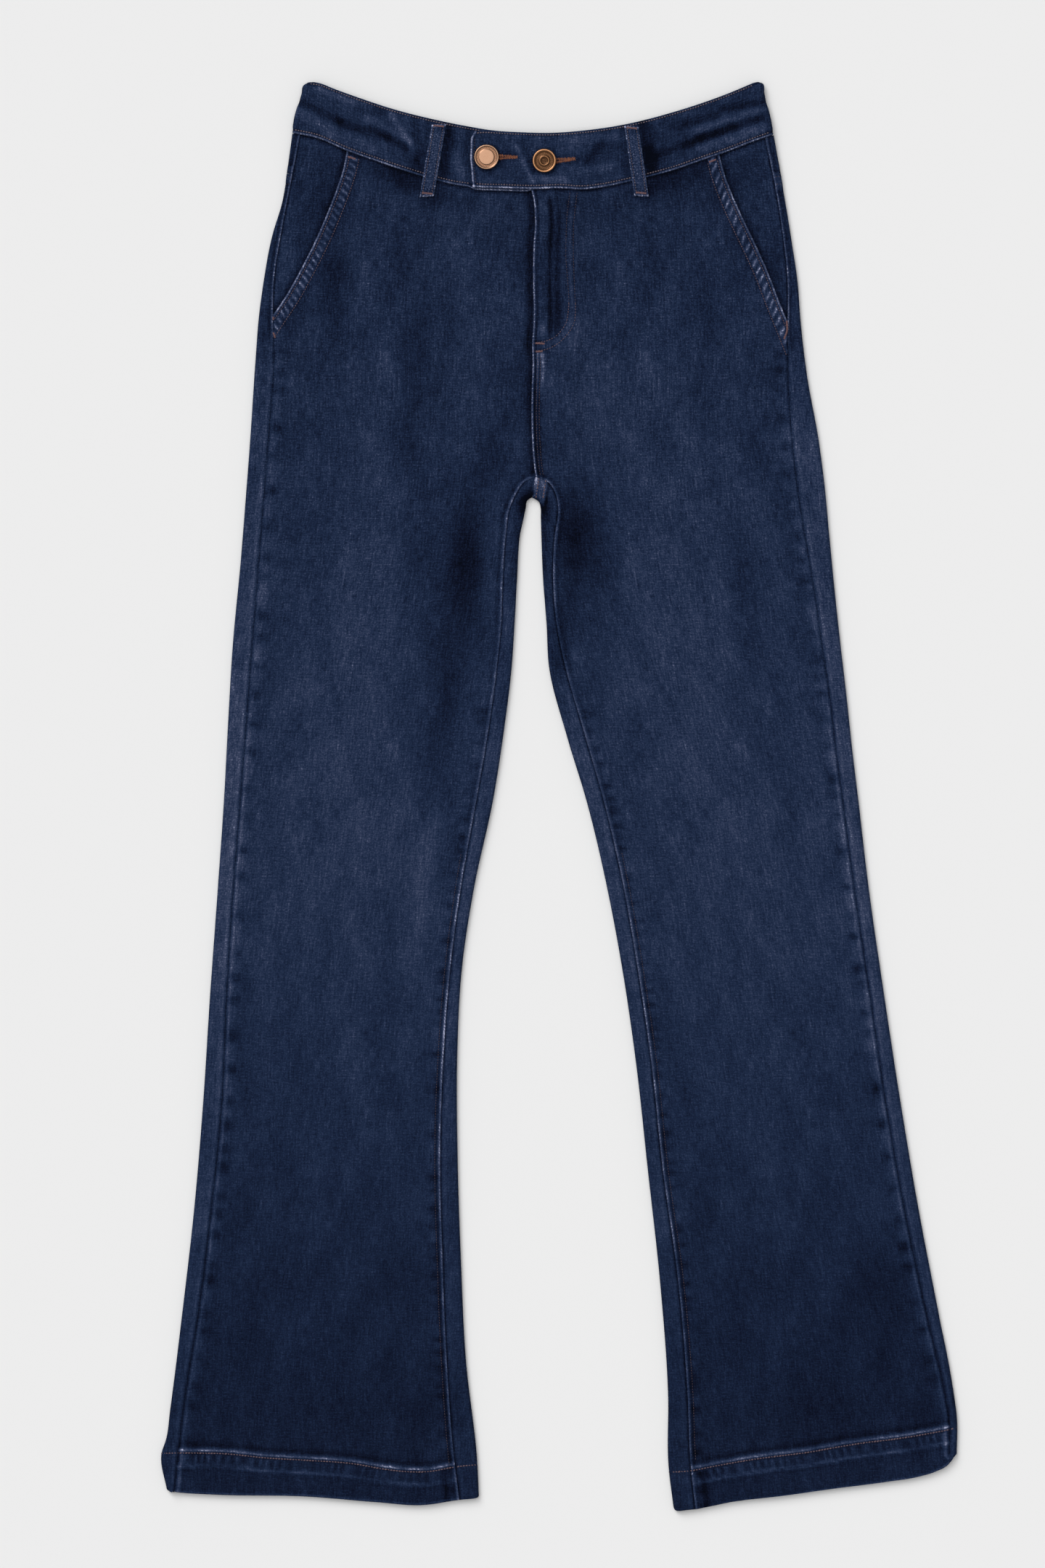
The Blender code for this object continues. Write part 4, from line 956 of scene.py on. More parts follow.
def slopes(grid, axis):
    """The direction along one axis of a grid that may have missing points."""
    ahead = np.full(grid.shape, np.nan)
    behind = np.full(grid.shape, np.nan)
    run = np.diff(grid, axis=axis)
    if axis == 0:
        ahead[:-1], behind[1:] = run, run
    else:
        ahead[:, :-1], behind[:, 1:] = run, run
    mean = (ahead + behind) / 2
    mean = np.where(np.isnan(mean), ahead, mean)
    return np.where(np.isnan(mean), behind, mean)


def unit(vectors):
    return vectors / np.maximum(np.linalg.norm(vectors, axis=-1, keepdims=True), 1e-9)


# %% Cloth from a grid
pieces = {}


def new_object(name, data):
    """An object in the scene for a mesh, a light or a camera."""
    made = bpy.data.objects.new(name, data)
    bpy.context.scene.collection.objects.link(made)
    return made


def make_plain(made):
    """The object's modifiers become part of its mesh."""
    bpy.context.view_layer.update()
    graph = bpy.context.evaluated_depsgraph_get()
    shaped = made.evaluated_get(graph)
    mesh = bpy.data.meshes.new_from_object(shaped, preserve_all_data_layers=True, depsgraph=graph)
    made.modifiers.clear()
    made.data = mesh
    mesh.name = made.name


def cloth(name, grid, relief, grain, thickness, material, thin_share=None):
    """A closed wall of cloth on a grid of surface points in millimetres."""
    present = ~np.isnan(grid[..., 0])
    index = np.full(present.shape, -1)
    index[present] = np.arange(present.sum())
    corners = np.stack([index[:-1, :-1], index[1:, :-1], index[1:, 1:], index[:-1, 1:]], axis=-1)
    faces = corners.reshape(-1, 4)
    faces = faces[(faces >= 0).all(axis=1)]
    normal = unit(np.cross(slopes(grid, 0), slopes(grid, 1)))
    if normal[0, 0, 2] < 0:
        faces = faces[:, ::-1]
        normal = -normal
    shaped = grid + normal * relief.lift[..., None]
    shaped[..., 2] = np.maximum(shaped[..., 2], 0.0)
    mesh = bpy.data.meshes.new(name)
    mesh.from_pydata((shaped[present] * MM).tolist(), [], faces.tolist())
    mesh.shade_smooth()
    for label, values in (
        ("looks", (relief.wear, relief.edge, relief.roping)),
        ("seam", (relief.across, relief.along, relief.pitch)),
        ("grain", (grain[0], grain[1], 0 * grain[0])),
    ):
        layer = mesh.attributes.new(label, "FLOAT_VECTOR", "POINT")
        layer.data.foreach_set("vector", np.stack(values, axis=-1)[present].astype(np.float32).ravel())
    mesh.materials.append(material)
    made = new_object(name, mesh)
    wall = made.modifiers.new("wall", "SOLIDIFY")
    wall.thickness = thickness * MM
    wall.offset = -1
    if thin_share is not None:
        group = made.vertex_groups.new(name="wall")
        for number, share in enumerate(np.round(thin_share[present], 3).tolist()):
            group.add([number], share, "REPLACE")
        wall.vertex_group = group.name
    make_plain(made)
    made.data.set_sharp_from_angle(angle=math.radians(62))
    pieces[name] = made
    area = float(np.linalg.norm(np.cross(slopes(grid, 0), slopes(grid, 1)), axis=-1)[present].sum())
    print(f"{name}: {len(made.data.polygons)} faces, about {area / 1e6:.3f} square metres")
    return made


def hem_share(leg, x, y):
    """Plain cloth above the hem, and the whole thickness in it."""
    edge = measure(x, y, HEM_EDGE[leg.name])[0]
    sewn = measure(x, y, HEM_ROW[leg.name])[1]
    inside = (edge < HEM_DEPTH + HEM_LEDGE + 6) & (sewn < 0.8)
    return np.where(inside, 1.0, CLOTH / HEM_CLOTH)


def leg_grain(leg, x, y):
    """The warp runs down the middle of each leg, so the cloth's own sideways place is taken from there."""
    levels = np.array([560, 400, CROTCH_LEVEL, 100, 0, -150, -300, -450, -560], float)
    outer = column(leg.side, "outseam", levels)
    inner = column(leg.inner, "inseam", np.minimum(levels, CROTCH_LEVEL))
    inner = np.where(levels > CROTCH_LEVEL, CENTRE_FRONT, inner)
    middle = smooth(y, levels, (outer + inner) / 2)
    return (x - middle) * MM, y * MM


# %% [markdown]
# ## Materials
#
# Denim is a 3/1 cotton twill: indigo warp over white weft. Up close that gives slanting lines 1 mm apart,
# pale specks where the weft shows, and streaks down the warp where thick yarn took less dye. The material
# adds those to the wear and painted shading that each panel carries, and one ramp turns the sum into colour.

# %% Node and colour helpers
def linear(code):
    """A hex sRGB colour as linear light."""
    parts = [int(code[k:k + 2], 16) / 255 for k in (0, 2, 4)]
    return tuple(c / 12.92 if c <= 0.04045 else ((c + 0.055) / 1.055) ** 2.4 for c in parts) + (1.0,)


def give(tree, node, inputs):
    """Each input takes a value, a socket, or a node's first output."""
    for key, given in inputs.items():
        if isinstance(given, bpy.types.Node):
            given = given.outputs[0]
        if isinstance(given, bpy.types.NodeSocket):
            tree.links.new(given, node.inputs[key])
        else:
            node.inputs[key].default_value = given


def add(tree, kind, inputs=None, **settings):
    """A node with its settings and its inputs."""
    node = tree.nodes.new(kind)
    for name, value in settings.items():
        setattr(node, name, value)
    give(tree, node, inputs or {})
    return node


def maths(tree, operation, *terms):
    return add(tree, "ShaderNodeMath", dict(enumerate(terms)), operation=operation)


def weighted_sum(tree, terms, start):
    """start + each term times its weight."""
    for term, weight in terms:
        start = maths(tree, "MULTIPLY_ADD", term, weight, start)
    return start


def blend(tree, share, low, high):
    """A mix of two hex colours."""
    colours = {0: share, 6: linear(low), 7: linear(high)}
    return add(tree, "ShaderNodeMix", colours, data_type="RGBA", clamp_factor=True).outputs[2]


def new_material(name):
    material = bpy.data.materials.new(name)
    material.use_nodes = True
    tree = material.node_tree
    place = add(tree, "ShaderNodeTexCoord").outputs["Object"]
    return material, tree, tree.nodes["Principled BSDF"], place


# %% [markdown]
# The ramp runs from near-black, which serves the painted shade, through the ink-blue of unworn cloth to
# the pale blue-white of a rubbed edge. Streaks and specks are drawn about 1.2 mm wide, a little coarser than
# the yarn, so that they show at this distance.

# %% Denim
DYE_AND_SHADE = [
    (0.05, "040713"), (0.20, "0b1124"), (0.30, "10192e"), (0.40, "162139"), (0.50, "1d2a44"),
    (0.60, "28344f"), (0.75, "3d4660"), (0.88, "616883"), (1.00, "a8acc6"),
]
WARP_WIDTH = 0.0013
WARP_LENGTH = 0.009
WEFT_LENGTH = 0.007
SPECK = 0.0012
SLUB_WIDTH = 0.0020
SLUB_LENGTH = 0.024
PATCH = 0.022
PATCH_LENGTH = 0.050
TWIST_PITCH = 2.9
WAVER = 9.0
WARP_CONTRAST = 0.46
WEFT_CONTRAST = 0.31
PATCH_CONTRAST = 0.46
SLUB_CONTRAST = 0.4
CALM = (-0.35, 0.35, 0.72, 1.0)


def denim(name, base=0.475, speck=0.64):
    material, tree, shader, place = new_material(name)

    def carried(label):
        return add(tree, "ShaderNodeAttribute", attribute_name=label).outputs["Vector"]

    def parts(vector):
        return add(tree, "ShaderNodeSeparateXYZ", {0: vector}).outputs

    def uneven(across, along, detail, **more):
        """Noise with one size across the warp and one along it."""
        drawn_out = add(tree, "ShaderNodeMapping", {0: grain, 3: (1 / across, 1 / along, 1)})
        return add(tree, "ShaderNodeTexNoise", {0: drawn_out, "Scale": 1.0, "Detail": detail, **more})

    def wave(pitch, slant):
        """0 to 1 along the seam, slanting across it."""
        slanted = maths(tree, "MULTIPLY_ADD", across, slant, along)
        turns = maths(tree, "DIVIDE", maths(tree, "MULTIPLY_ADD", patches, WAVER, slanted), pitch)
        sine = maths(tree, "SINE", maths(tree, "MULTIPLY", turns, 2 * math.pi))
        return maths(tree, "POWER", maths(tree, "MULTIPLY_ADD", sine, 0.5, 0.5), 1.8)

    grain = carried("grain")
    wear, edge, roping = parts(carried("looks"))
    across, along, pitch = parts(carried("seam"))
    warp = uneven(WARP_WIDTH, WARP_LENGTH, 2.0)
    weft = uneven(WEFT_LENGTH, WARP_WIDTH, 1.0)
    slubs = maths(tree, "POWER", uneven(SLUB_WIDTH, SLUB_LENGTH, 1.0), 5.0)
    patches = uneven(PATCH, PATCH_LENGTH, 4.0, Roughness=0.62)
    specks = add(tree, "ShaderNodeTexNoise", {0: grain, "Scale": 1 / SPECK, "Detail": 1.0})
    on_edge = maths(tree, "MULTIPLY", wave(TWIST_PITCH, 1.2), edge)
    on_ropes = maths(tree, "MULTIPLY", wave(pitch, 1.0), roping)
    yarn = weighted_sum(tree, [
        (warp, WARP_CONTRAST), (weft, WEFT_CONTRAST), (maths(tree, "POWER", specks, 2.4), speck),
        (patches, PATCH_CONTRAST), (slubs, SLUB_CONTRAST),
    ], -(WARP_CONTRAST + WEFT_CONTRAST + 0.42 * speck + PATCH_CONTRAST) / 2 - 0.05 * SLUB_CONTRAST)
    calm = add(tree, "ShaderNodeMapRange", {0: parts(place)[1], **dict(enumerate(CALM, 1))})
    amount = weighted_sum(tree, [
        (wear, 1.0), (maths(tree, "MULTIPLY", yarn, calm), 1.0), (edge, 0.43), (on_edge, 0.14),
        (on_ropes, 0.46), (roping, -0.14),
    ], base)
    ramp = add(tree, "ShaderNodeValToRGB", {0: amount})
    bands = ramp.color_ramp.elements
    while len(bands) < len(DYE_AND_SHADE):
        bands.new(0.5)
    for band, (position, code) in zip(bands, DYE_AND_SHADE):
        band.position = position
        band.color = linear(code)
    relief = weighted_sum(tree, [(specks, 0.5), (warp, 0.2), (on_edge, 0.6), (on_ropes, 0.5)], 0.0)
    bump = add(tree, "ShaderNodeBump", {"Height": relief, "Strength": 0.35, "Distance": 0.0005})
    give(tree, shader, {"Base Color": ramp, "Normal": bump, "Roughness": 0.9, "Specular IOR Level": 0.04})
    return material


DENIM = denim("indigo_denim_twill")
LOOP_DENIM = denim("rubbed_denim_twill", base=0.61, speck=1.05)
print("denims", DENIM.name, LOOP_DENIM.name, "with", len(DENIM.node_tree.nodes), "nodes each")

# %% [markdown]
# The thread is polyester wrapped in cotton, in faded tan, rust, brown and rose, with russet round the
# buttonholes. The buttons are brass plated with copper: one is polished pale, and the other is darkened
# and rubbed bright on its rim. The zip's tape is woven polyester.

# %% Thread, metal and tape
THREAD_TWIST = 0.0007


def thread(name, code, worn_code):
    material, tree, shader, place = new_material(name)
    fuzz = add(tree, "ShaderNodeTexNoise", {0: place, "Scale": 1 / THREAD_TWIST, "Detail": 2.0})
    bump = add(tree, "ShaderNodeBump", {"Height": fuzz, "Strength": 0.5, "Distance": 0.0002})
    colour = blend(tree, fuzz, code, worn_code)
    give(tree, shader, {"Base Color": colour, "Normal": bump, "Roughness": 0.65})
    return material


def plated_metal(name, deep, bright, roughness, reach):
    """Copper plate: bright on raised rims, deeper in the hollows, with fine scuffs."""
    material, tree, shader, place = new_material(name)
    height = add(tree, "ShaderNodeSeparateXYZ", {0: place}).outputs[2]
    raised = add(tree, "ShaderNodeMapRange", {0: height, 1: reach[0], 2: reach[1]})
    scuffs = add(tree, "ShaderNodeTexNoise", {0: place, "Scale": 1400.0, "Detail": 3.0})
    amount = weighted_sum(tree, [(raised, 0.8), (scuffs, 0.4)], -0.1)
    rough = maths(tree, "MULTIPLY_ADD", scuffs, 0.16, roughness - 0.08)
    give(tree, shader, {"Base Color": blend(tree, amount, deep, bright), "Roughness": rough, "Metallic": 1.0})
    return material


def tape(name):
    material, tree, shader, place = new_material(name)
    weave = {0: place, "Scale": 300.0, "Distortion": 1.0}
    weave = add(tree, "ShaderNodeTexWave", weave, bands_direction="DIAGONAL")
    give(tree, shader, {"Base Color": blend(tree, weave, "10131c", "232a3a"), "Roughness": 0.8})
    return material


TAN_THREAD = thread("tan_topstitch_thread", "483d46", "74676f")
ROSE_THREAD = thread("rose_bar_tack_thread", "46303a", "8a6563")
RUSSET_THREAD = thread("russet_bar_tack_thread", "4c271b", "a8663f")
RUST_THREAD = thread("rust_topstitch_thread", "372b34", "6a555e")
BROWN_THREAD = thread("brown_seam_thread", "241e2a", "4e404b")
PALE_COPPER = plated_metal("polished_copper_plate", "734c37", "b48f75", 0.3, (0.0131, 0.0140))
DARK_COPPER = plated_metal("antique_copper_plate", "1a0d09", "b98761", 0.34, (0.0130, 0.0143))
ZIP_TAPE = tape("woven_polyester_tape")
print("materials", len(bpy.data.materials))

# %% [markdown]
# ## Front panels
#
# A front starts at the pocket's mouth, runs on down the outseam, and ends at the fly, the crotch and the
# inseam. Its rows bend with the waistband at the top and with the hem at the bottom.

# %% Rows of a front
def front_row(start, end, ys_at):
    share = across_shares(abs(end - start), OUTER_STEPS, INNER_STEPS, MIDDLE_COLUMNS)
    xs = lerp(start, end, share)
    return np.column_stack([xs, ys_at(share, xs)])


def front_plan(leg):
    top_y = leg.mouth[0].y - GAP
    top_x = column(leg.mouth, "x", top_y)
    centre_x = centre_edge(leg, 477.0)
    centre_y = seam_y(centre_x, leg.sign) - BAND_GAP
    rows = []
    for part in np.linspace(0, 1, MOUTH_ROWS + 1)[:-1] ** 1.15:
        y, end_y = lerp(top_y, leg.pocket_end, part), lerp(centre_y, leg.pocket_end, part)

        def bowed(share, xs):
            along_seam = seam_y(lerp(top_x, centre_x, share), leg.sign) - BAND_GAP
            return lerp(y, end_y, share) + (along_seam - lerp(top_y, centre_y, share)) * (1 - part) ** 2

        rows.append(front_row(column(leg.mouth, "x", y), centre_edge(leg, end_y), bowed))
    for y in hip_rows(leg.pocket_end):
        part = (y - CROTCH_LEVEL) / (leg.pocket_end - CROTCH_LEVEL)
        end_y = lerp(CROTCH[1], leg.pocket_end, part)
        start = outseam_x(leg, y) - leg.sign * GAP / 2
        rows.append(front_row(start, centre_edge(leg, end_y), lambda share, xs: lerp(y, end_y, share)))
    for y in leg_rows(leg):
        level = inner_level(leg, y)
        start = outseam_x(leg, y) - leg.sign * GAP / 2
        end = column(leg.inner, "inseam", level) + leg.sign * GAP / 2
        drop = column(leg.inner, "drop", level)
        rows.append(front_row(start, end, lambda share, xs: row_level(leg, y, xs) + drop * share))
    return np.array(rows)


def make_front(leg, seed):
    plan = front_plan(leg)
    x, y = plan[..., 0], plan[..., 1]
    grid = np.dstack([plan, front_height(leg, x, y)])
    relief = Relief(x, y)
    add_tones(relief, leg)
    outseam_relief(relief, leg, seed)
    inseam_relief(relief, leg, seed + 10)
    mouth_relief(relief, leg, seed + 20)
    band_seam_relief(relief, leg.sign)
    hem_relief(relief, leg, seed + 30)
    if leg.sign > 0:
        fly_relief(relief)
    else:
        beside_fly_relief(relief)
    share = hem_share(leg, x, y)
    return cloth(f"denim_front_{leg.name}", grid, relief, leg_grain(leg, x, y), HEM_CLOTH, DENIM, share)


for leg, seed in ((RIGHT, 100), (LEFT, 200)):
    make_front(leg, seed)

# %% [markdown]
# ## Back panels
#
# The backs are wider than the fronts, so they wrap round the side and inner folds and show beside each
# front as a narrow strip. One grid goes from the outseam over the fold, along the underside and up round
# the inner fold to the inseam. Above the crotch it stops at the centre back instead.

# %% Rows of a back
def fold_arc(point, outward, low, high, from_top):
    """The half round of a fold between two heights."""
    radius = (high - low) / 2
    centre = point - outward * radius
    turns = np.linspace(90, -90, FOLD_STEPS + 1)
    turns = np.radians(turns if from_top else turns[::-1])
    plan = centre + outward * (radius * np.cos(turns))[:, None]
    return np.column_stack([plan, low + radius + radius * np.sin(turns)])


def strip_shares(width):
    """Shares across a strip: fine steps beside the seam, then even ones."""
    steps = np.array(STRIP_STEPS) * min(1, width / 9)
    even = np.linspace(steps[-1], width, 6)[1:-1]
    return np.concatenate([steps, even]) / width


def back_row(leg, y, centre_y, below):
    outseam = outseam_x(leg, y) + leg.sign * GAP / 2
    edge, outward = side_fold(leg, y)
    low, high = floor_height(edge[0], y), top_height(edge[0], y)
    arc = fold_arc(edge, outward, low, high, True)
    strip_x = lerp(outseam, arc[0, 0], strip_shares(abs(arc[0, 0] - outseam)))
    strip_y = row_level(leg, y, strip_x) if below else np.full(len(strip_x), y)
    strip = np.column_stack([strip_x, strip_y, np.full(len(strip_x), np.nan)])
    if below:
        arc[:, 1] += hem_bow(leg, y, row_share(leg, y, arc[:, 0]))
        point, inward = inner_fold(leg, y)
        if y == CROTCH_LEVEL:
            point = np.array([CENTRE_BACK + leg.sign * GAP / 2, point[1]])
        arc_in = fold_arc(point, inward, 0.0, top_height(*point), False)
        end = arc_in[0].copy()
        arc_in[:, 1] += hem_bow(leg, y, row_share(leg, y, arc_in[:, 0]))
    else:
        x = CENTRE_BACK + leg.sign * GAP / 2
        end = np.array([x, centre_y, floor_height(x, centre_y)])
    floor_x = lerp(arc[-1, 0], end[0], np.linspace(0, 1, FLOOR_COLUMNS + 2)[1:-1])
    share = (floor_x - arc[-1, 0]) / (end[0] - arc[-1, 0])
    if below:
        floor_y = lerp(y, end[1], share) + hem_bow(leg, y, row_share(leg, y, floor_x))
    else:
        floor_y = lerp(arc[-1, 1], end[1], share)
    floor = np.column_stack([floor_x, floor_y, np.full(len(floor_x), np.nan)])
    if not below:
        missing = np.full((FOLD_STEPS + len(strip_x), 3), np.nan)
        return np.vstack([strip, arc, floor, end[None], missing]), len(strip_x)
    level = inner_level(leg, y)
    inseam = column(leg.inner, "inseam", level) - leg.sign * GAP / 2
    inseam_y = row_level(leg, y, inseam) + column(leg.inner, "drop", level)
    share = strip_shares(np.hypot(inseam - arc_in[-1, 0], inseam_y - arc_in[-1, 1]))[::-1, None]
    inner = lerp(np.array([inseam, inseam_y - GAP]), arc_in[-1, :2], share)
    inner = np.column_stack([inner, np.full(len(inner), np.nan)])
    return np.vstack([strip, arc, floor, arc_in, inner]), len(strip_x)


def fill_heights(grid, strips):
    """Heights for the flat parts of a back, all measured at once."""
    first = strips + FOLD_STEPS + 1
    top = [slice(0, strips), slice(grid.shape[1] - strips, grid.shape[1])]
    for part in top:
        known = ~np.isnan(grid[:, part, 0])
        x, y = grid[:, part, 0][known], grid[:, part, 1][known]
        grid[:, part, 2][known] = top_height(x, y)
    floor = slice(first, first + FLOOR_COLUMNS)
    grid[:, floor, 2] = floor_height(grid[:, floor, 0], grid[:, floor, 1])
    return grid


# %% [markdown]
# The strips beside the fronts carry the other half of each seam. Above the pocket's end the outseam is a
# raised twist. Lower down the strip is drawn paler than the front: partly rubbed, and partly painted light
# where it rounds over the fold. The underside has the seams that any jeans have there: the centre back
# seam, the yoke seams and the hems.

# %% Seams of the backs
def strip_relief(relief, leg, seed, top):
    """top marks the points that look up."""
    away, _, along = relief.beside(OUTSEAM[leg.name])
    upper = ease((relief.y - leg.pocket_end + 30) / 20) * top
    lower = (1 - ease((relief.y - leg.pocket_end + 30) / 20)) * top
    uneven = 0.8 + 0.2 * wander(along, 8, seed)
    relief.worn_edge(away, along, 0.8 * ridge(away, 0.7, 0.7) * upper * uneven, 0.4)
    # The trough beside the twist and the seam's gap lower down are darkened with painted shade.
    relief.soften(ridge(away, 2.8, 1.4) * upper, -0.2, -0.14)
    relief.ridges(away, lower, (0, 0.8, -0.2, -0.10), (2.5, 1.6, 0.15, 0.09))
    relief.soften(bumps(along, 30, 7, seed + 1) * ridge(away, 7, 5) * top, -0.2, -0.06)
    # The strip is drawn paler down the leg: partly rubbed, partly painted light where it rounds over the
    # fold.
    levels = [-540, -400, -230, -60, 110, 285, 360]
    paler = np.interp(relief.y, levels, [0.09, 0.12, 0.11, 0.13, 0.12, 0.08, 0])
    relief.soften(ease((away - 0.8) / 2.5) * top * (away < 40), 0, paler)
    inner, _, inner_along = relief.beside(INSEAM[leg.name])
    below = ease((249 - relief.y) / 4) * top
    # The gap at the inseam is darkened with painted shade.
    relief.soften(ridge(inner, 0, 0.9) * below, -0.3, -0.24)
    relief.soften(bumps(inner_along, 19, 5, seed + 2) * ridge(inner, 6, 5) * below, -0.15, -0.05)
    relief.soften(ridge(inner, 3.0, 2.2) * below, 0.1, 0.04)
    # Low on the leg the inner strip is drawn paler: partly rubbed, partly painted light.
    relief.soften(ease((inner - 1) / 2) * (inner < 32) * below * ease((90 - relief.y) / 60), 0, 0.07)
    # A thin painted shade lies where the fold turns away at the silhouette.
    silhouette = nearest_of(relief.x, relief.y, FOLD_LINES)
    relief.soften(ridge(silhouette, 0, 1.0) * top, 0, -0.03)
    felled = relief.y - leg.yoke
    outside = ease((away - 0.4) / 0.8) * top * (away < 30)
    relief.soften(ridge(felled, 7.2, 0.6) * outside, -0.15, -0.22)
    relief.soften(ease((felled + 7) / 1.5) * ease((7 - felled) / 1.5) * outside, 0.2, 0.16)
    relief.ridges(felled, outside, (-7.0, 0.6, 0.1, 0.16), (-8.4, 0.7, -0.2, -0.2))


def crotch_relief(relief, leg, top):
    """The deep hollow beside the crotch, darkened with painted shade, and the centre back seam that comes up
    through it.
    """
    reach = np.hypot((relief.x - CROTCH[0] - leg.sign * 3), (relief.y - 222) / 2.2)
    fold = relief.beside(fine_line(leg.inner, "fold_x", "fold_y"))[0]
    recess_shade = ease(1.3 - np.abs(relief.y - 236) / 16) + 0.25 * ease(1.2 - np.abs(relief.y - 200) / 50)
    seam = relief.x - np.interp(relief.y, [233, 252], [CENTRE_BACK, CROTCH[0]])
    close = ease((relief.y - 226) / 6) * top
    felled = ease((seam + 0.6) / 0.8) * ease((10.5 - seam) / 1.5) * close
    # Painted shade fills the hollow beside the inner fold and lies round the crotch.
    relief.soften(ridge(fold, 0, 5.4) * recess_shade * top * (1 - 0.8 * felled), -0.1, -0.62)
    relief.soften(ease(1 - reach / 8) * top, 0, -0.06)
    relief.worn_edge(seam, relief.y, ridge(seam, 0.4, 0.8) * close, 0.45)
    relief.soften(felled, 0.2, 0.20)
    relief.ridges(seam, close, (3.4, 0.6, -0.1, -0.18), (11.2, 0.8, -0.1, -0.25))


def underside_relief(relief, leg, seed, under):
    """Seams and soft creases on the side that lies on the table."""
    _, signed, along = relief.beside(HEM_ROW[leg.name])
    relief.worn_edge(signed, along, ridge(signed, 1.9, 0.9) * under, 0)
    relief.ropes(signed * 0.9, along, 0.7 * ridge(signed, -7, 6) * under, 11.5, 0)
    centre = np.abs(relief.x - CENTRE_BACK) + 40 * ease((240 - relief.y) / 20)
    relief.worn_edge(centre, relief.y, ridge(centre, 1.0, 1.0) * under, 0)
    relief.soften(ridge(centre, 3.2, 1.2) * under, -0.05, -0.1)
    share = np.abs(relief.x - leg.side[0].fold) / abs(leg.side[0].fold - CENTRE_BACK)
    yoke = relief.y - lerp(YOKE_SIDE, YOKE_CENTRE, np.clip(share, 0, 1))
    relief.worn_edge(yoke, relief.x, ridge(yoke, -1.5, 1.2) * under, 0)
    relief.soften(bumps(along, 60, 16, seed) * ridge(np.abs(signed), 120, 70) * under, 0, -0.03)


# %% Backs and yokes
def make_back(leg, seed):
    crotch_floor = leg.inner[0].fold_y + FOLD_HEIGHT / 2
    rows = []
    first = YOKE_SIDE - GAP
    for y in hip_rows(first):
        share = (y - CROTCH_LEVEL) / (first - CROTCH_LEVEL)
        rows.append(back_row(leg, y, lerp(crotch_floor, YOKE_CENTRE - GAP, share), False))
    for y in leg_rows(leg):
        rows.append(back_row(leg, y, 0, True))
    strips = rows[0][1]
    grid = fill_heights(np.array([row for row, _ in rows]), strips)
    return finish_back(f"denim_back_{leg.name}", leg, grid, strips, seed, HEM_CLOTH)


def finish_back(name, leg, grid, strips, seed, thickness):
    x, y = np.nan_to_num(grid[..., 0]), np.nan_to_num(grid[..., 1])
    columns = np.arange(grid.shape[1])
    first_floor = strips + FOLD_STEPS
    last_floor = first_floor + FLOOR_COLUMNS + 1
    turned = np.interp(columns, [strips, first_floor, last_floor, last_floor + FOLD_STEPS], [1, 0, 0, 1])
    top = np.broadcast_to(turned, x.shape)
    relief = Relief(x, y)
    add_tones(relief, leg)
    strip_relief(relief, leg, seed, top)
    crotch_relief(relief, leg, top)
    underside_relief(relief, leg, seed + 5, 1 - top)
    relief.lift = np.where(top < 0.02, np.minimum(relief.lift, 0), relief.lift)
    share = hem_share(leg, x, y) if thickness == HEM_CLOTH else None
    return cloth(name, grid, relief, leg_grain(leg, x, y), thickness, DENIM, share)


def make_yoke(leg, seed):
    side_top = seam_y(column(leg.side, "fold", leg.side[0].y)) - BAND_GAP
    centre_top = seam_y(CENTRE_BACK) - BAND_GAP
    rows = []
    for share in np.linspace(0, 1, 30):
        y = lerp(side_top, YOKE_SIDE + GAP, share)
        centre_y = lerp(centre_top, YOKE_CENTRE + GAP, share)
        row, strips = back_row(leg, y, centre_y, False)
        row = row[:strips + FOLD_STEPS + FLOOR_COLUMNS + 2]
        edge_x = column(leg.side, "fold", y)
        rise = (seam_y(outseam_x(leg, y)) - seam_y(edge_x)) * (1 - share)
        row[:strips, 1] += rise * np.linspace(1, 0, strips)
        along = np.linspace(0, 1, FLOOR_COLUMNS + 2)[1:]
        floor = slice(strips + FOLD_STEPS + 1, None)
        bow = seam_y(row[floor, 0]) - BAND_GAP - lerp(side_top, centre_top, along)
        row[floor, 1] += bow * (1 - share)
        row[floor, 2] = floor_height(row[floor, 0], row[floor, 1])
        row[:strips, 2] = top_height(row[:strips, 0], row[:strips, 1])
        rows.append(row)
    return finish_back(f"denim_yoke_{leg.name}", leg, np.array(rows), strips, seed, CLOTH)


for leg, seed in ((RIGHT, 300), (LEFT, 400)):
    make_back(leg, seed)
    make_yoke(leg, seed + 50)

# %% [markdown]
# ## Pocket facings
#
# Behind each slanted mouth a facing of the same denim closes the hip. It carries on under the front for
# a little way, and it lies in the mouth's shade.

# %% Facings
FACING_ROWS = 90
FACING_COLUMNS = 14


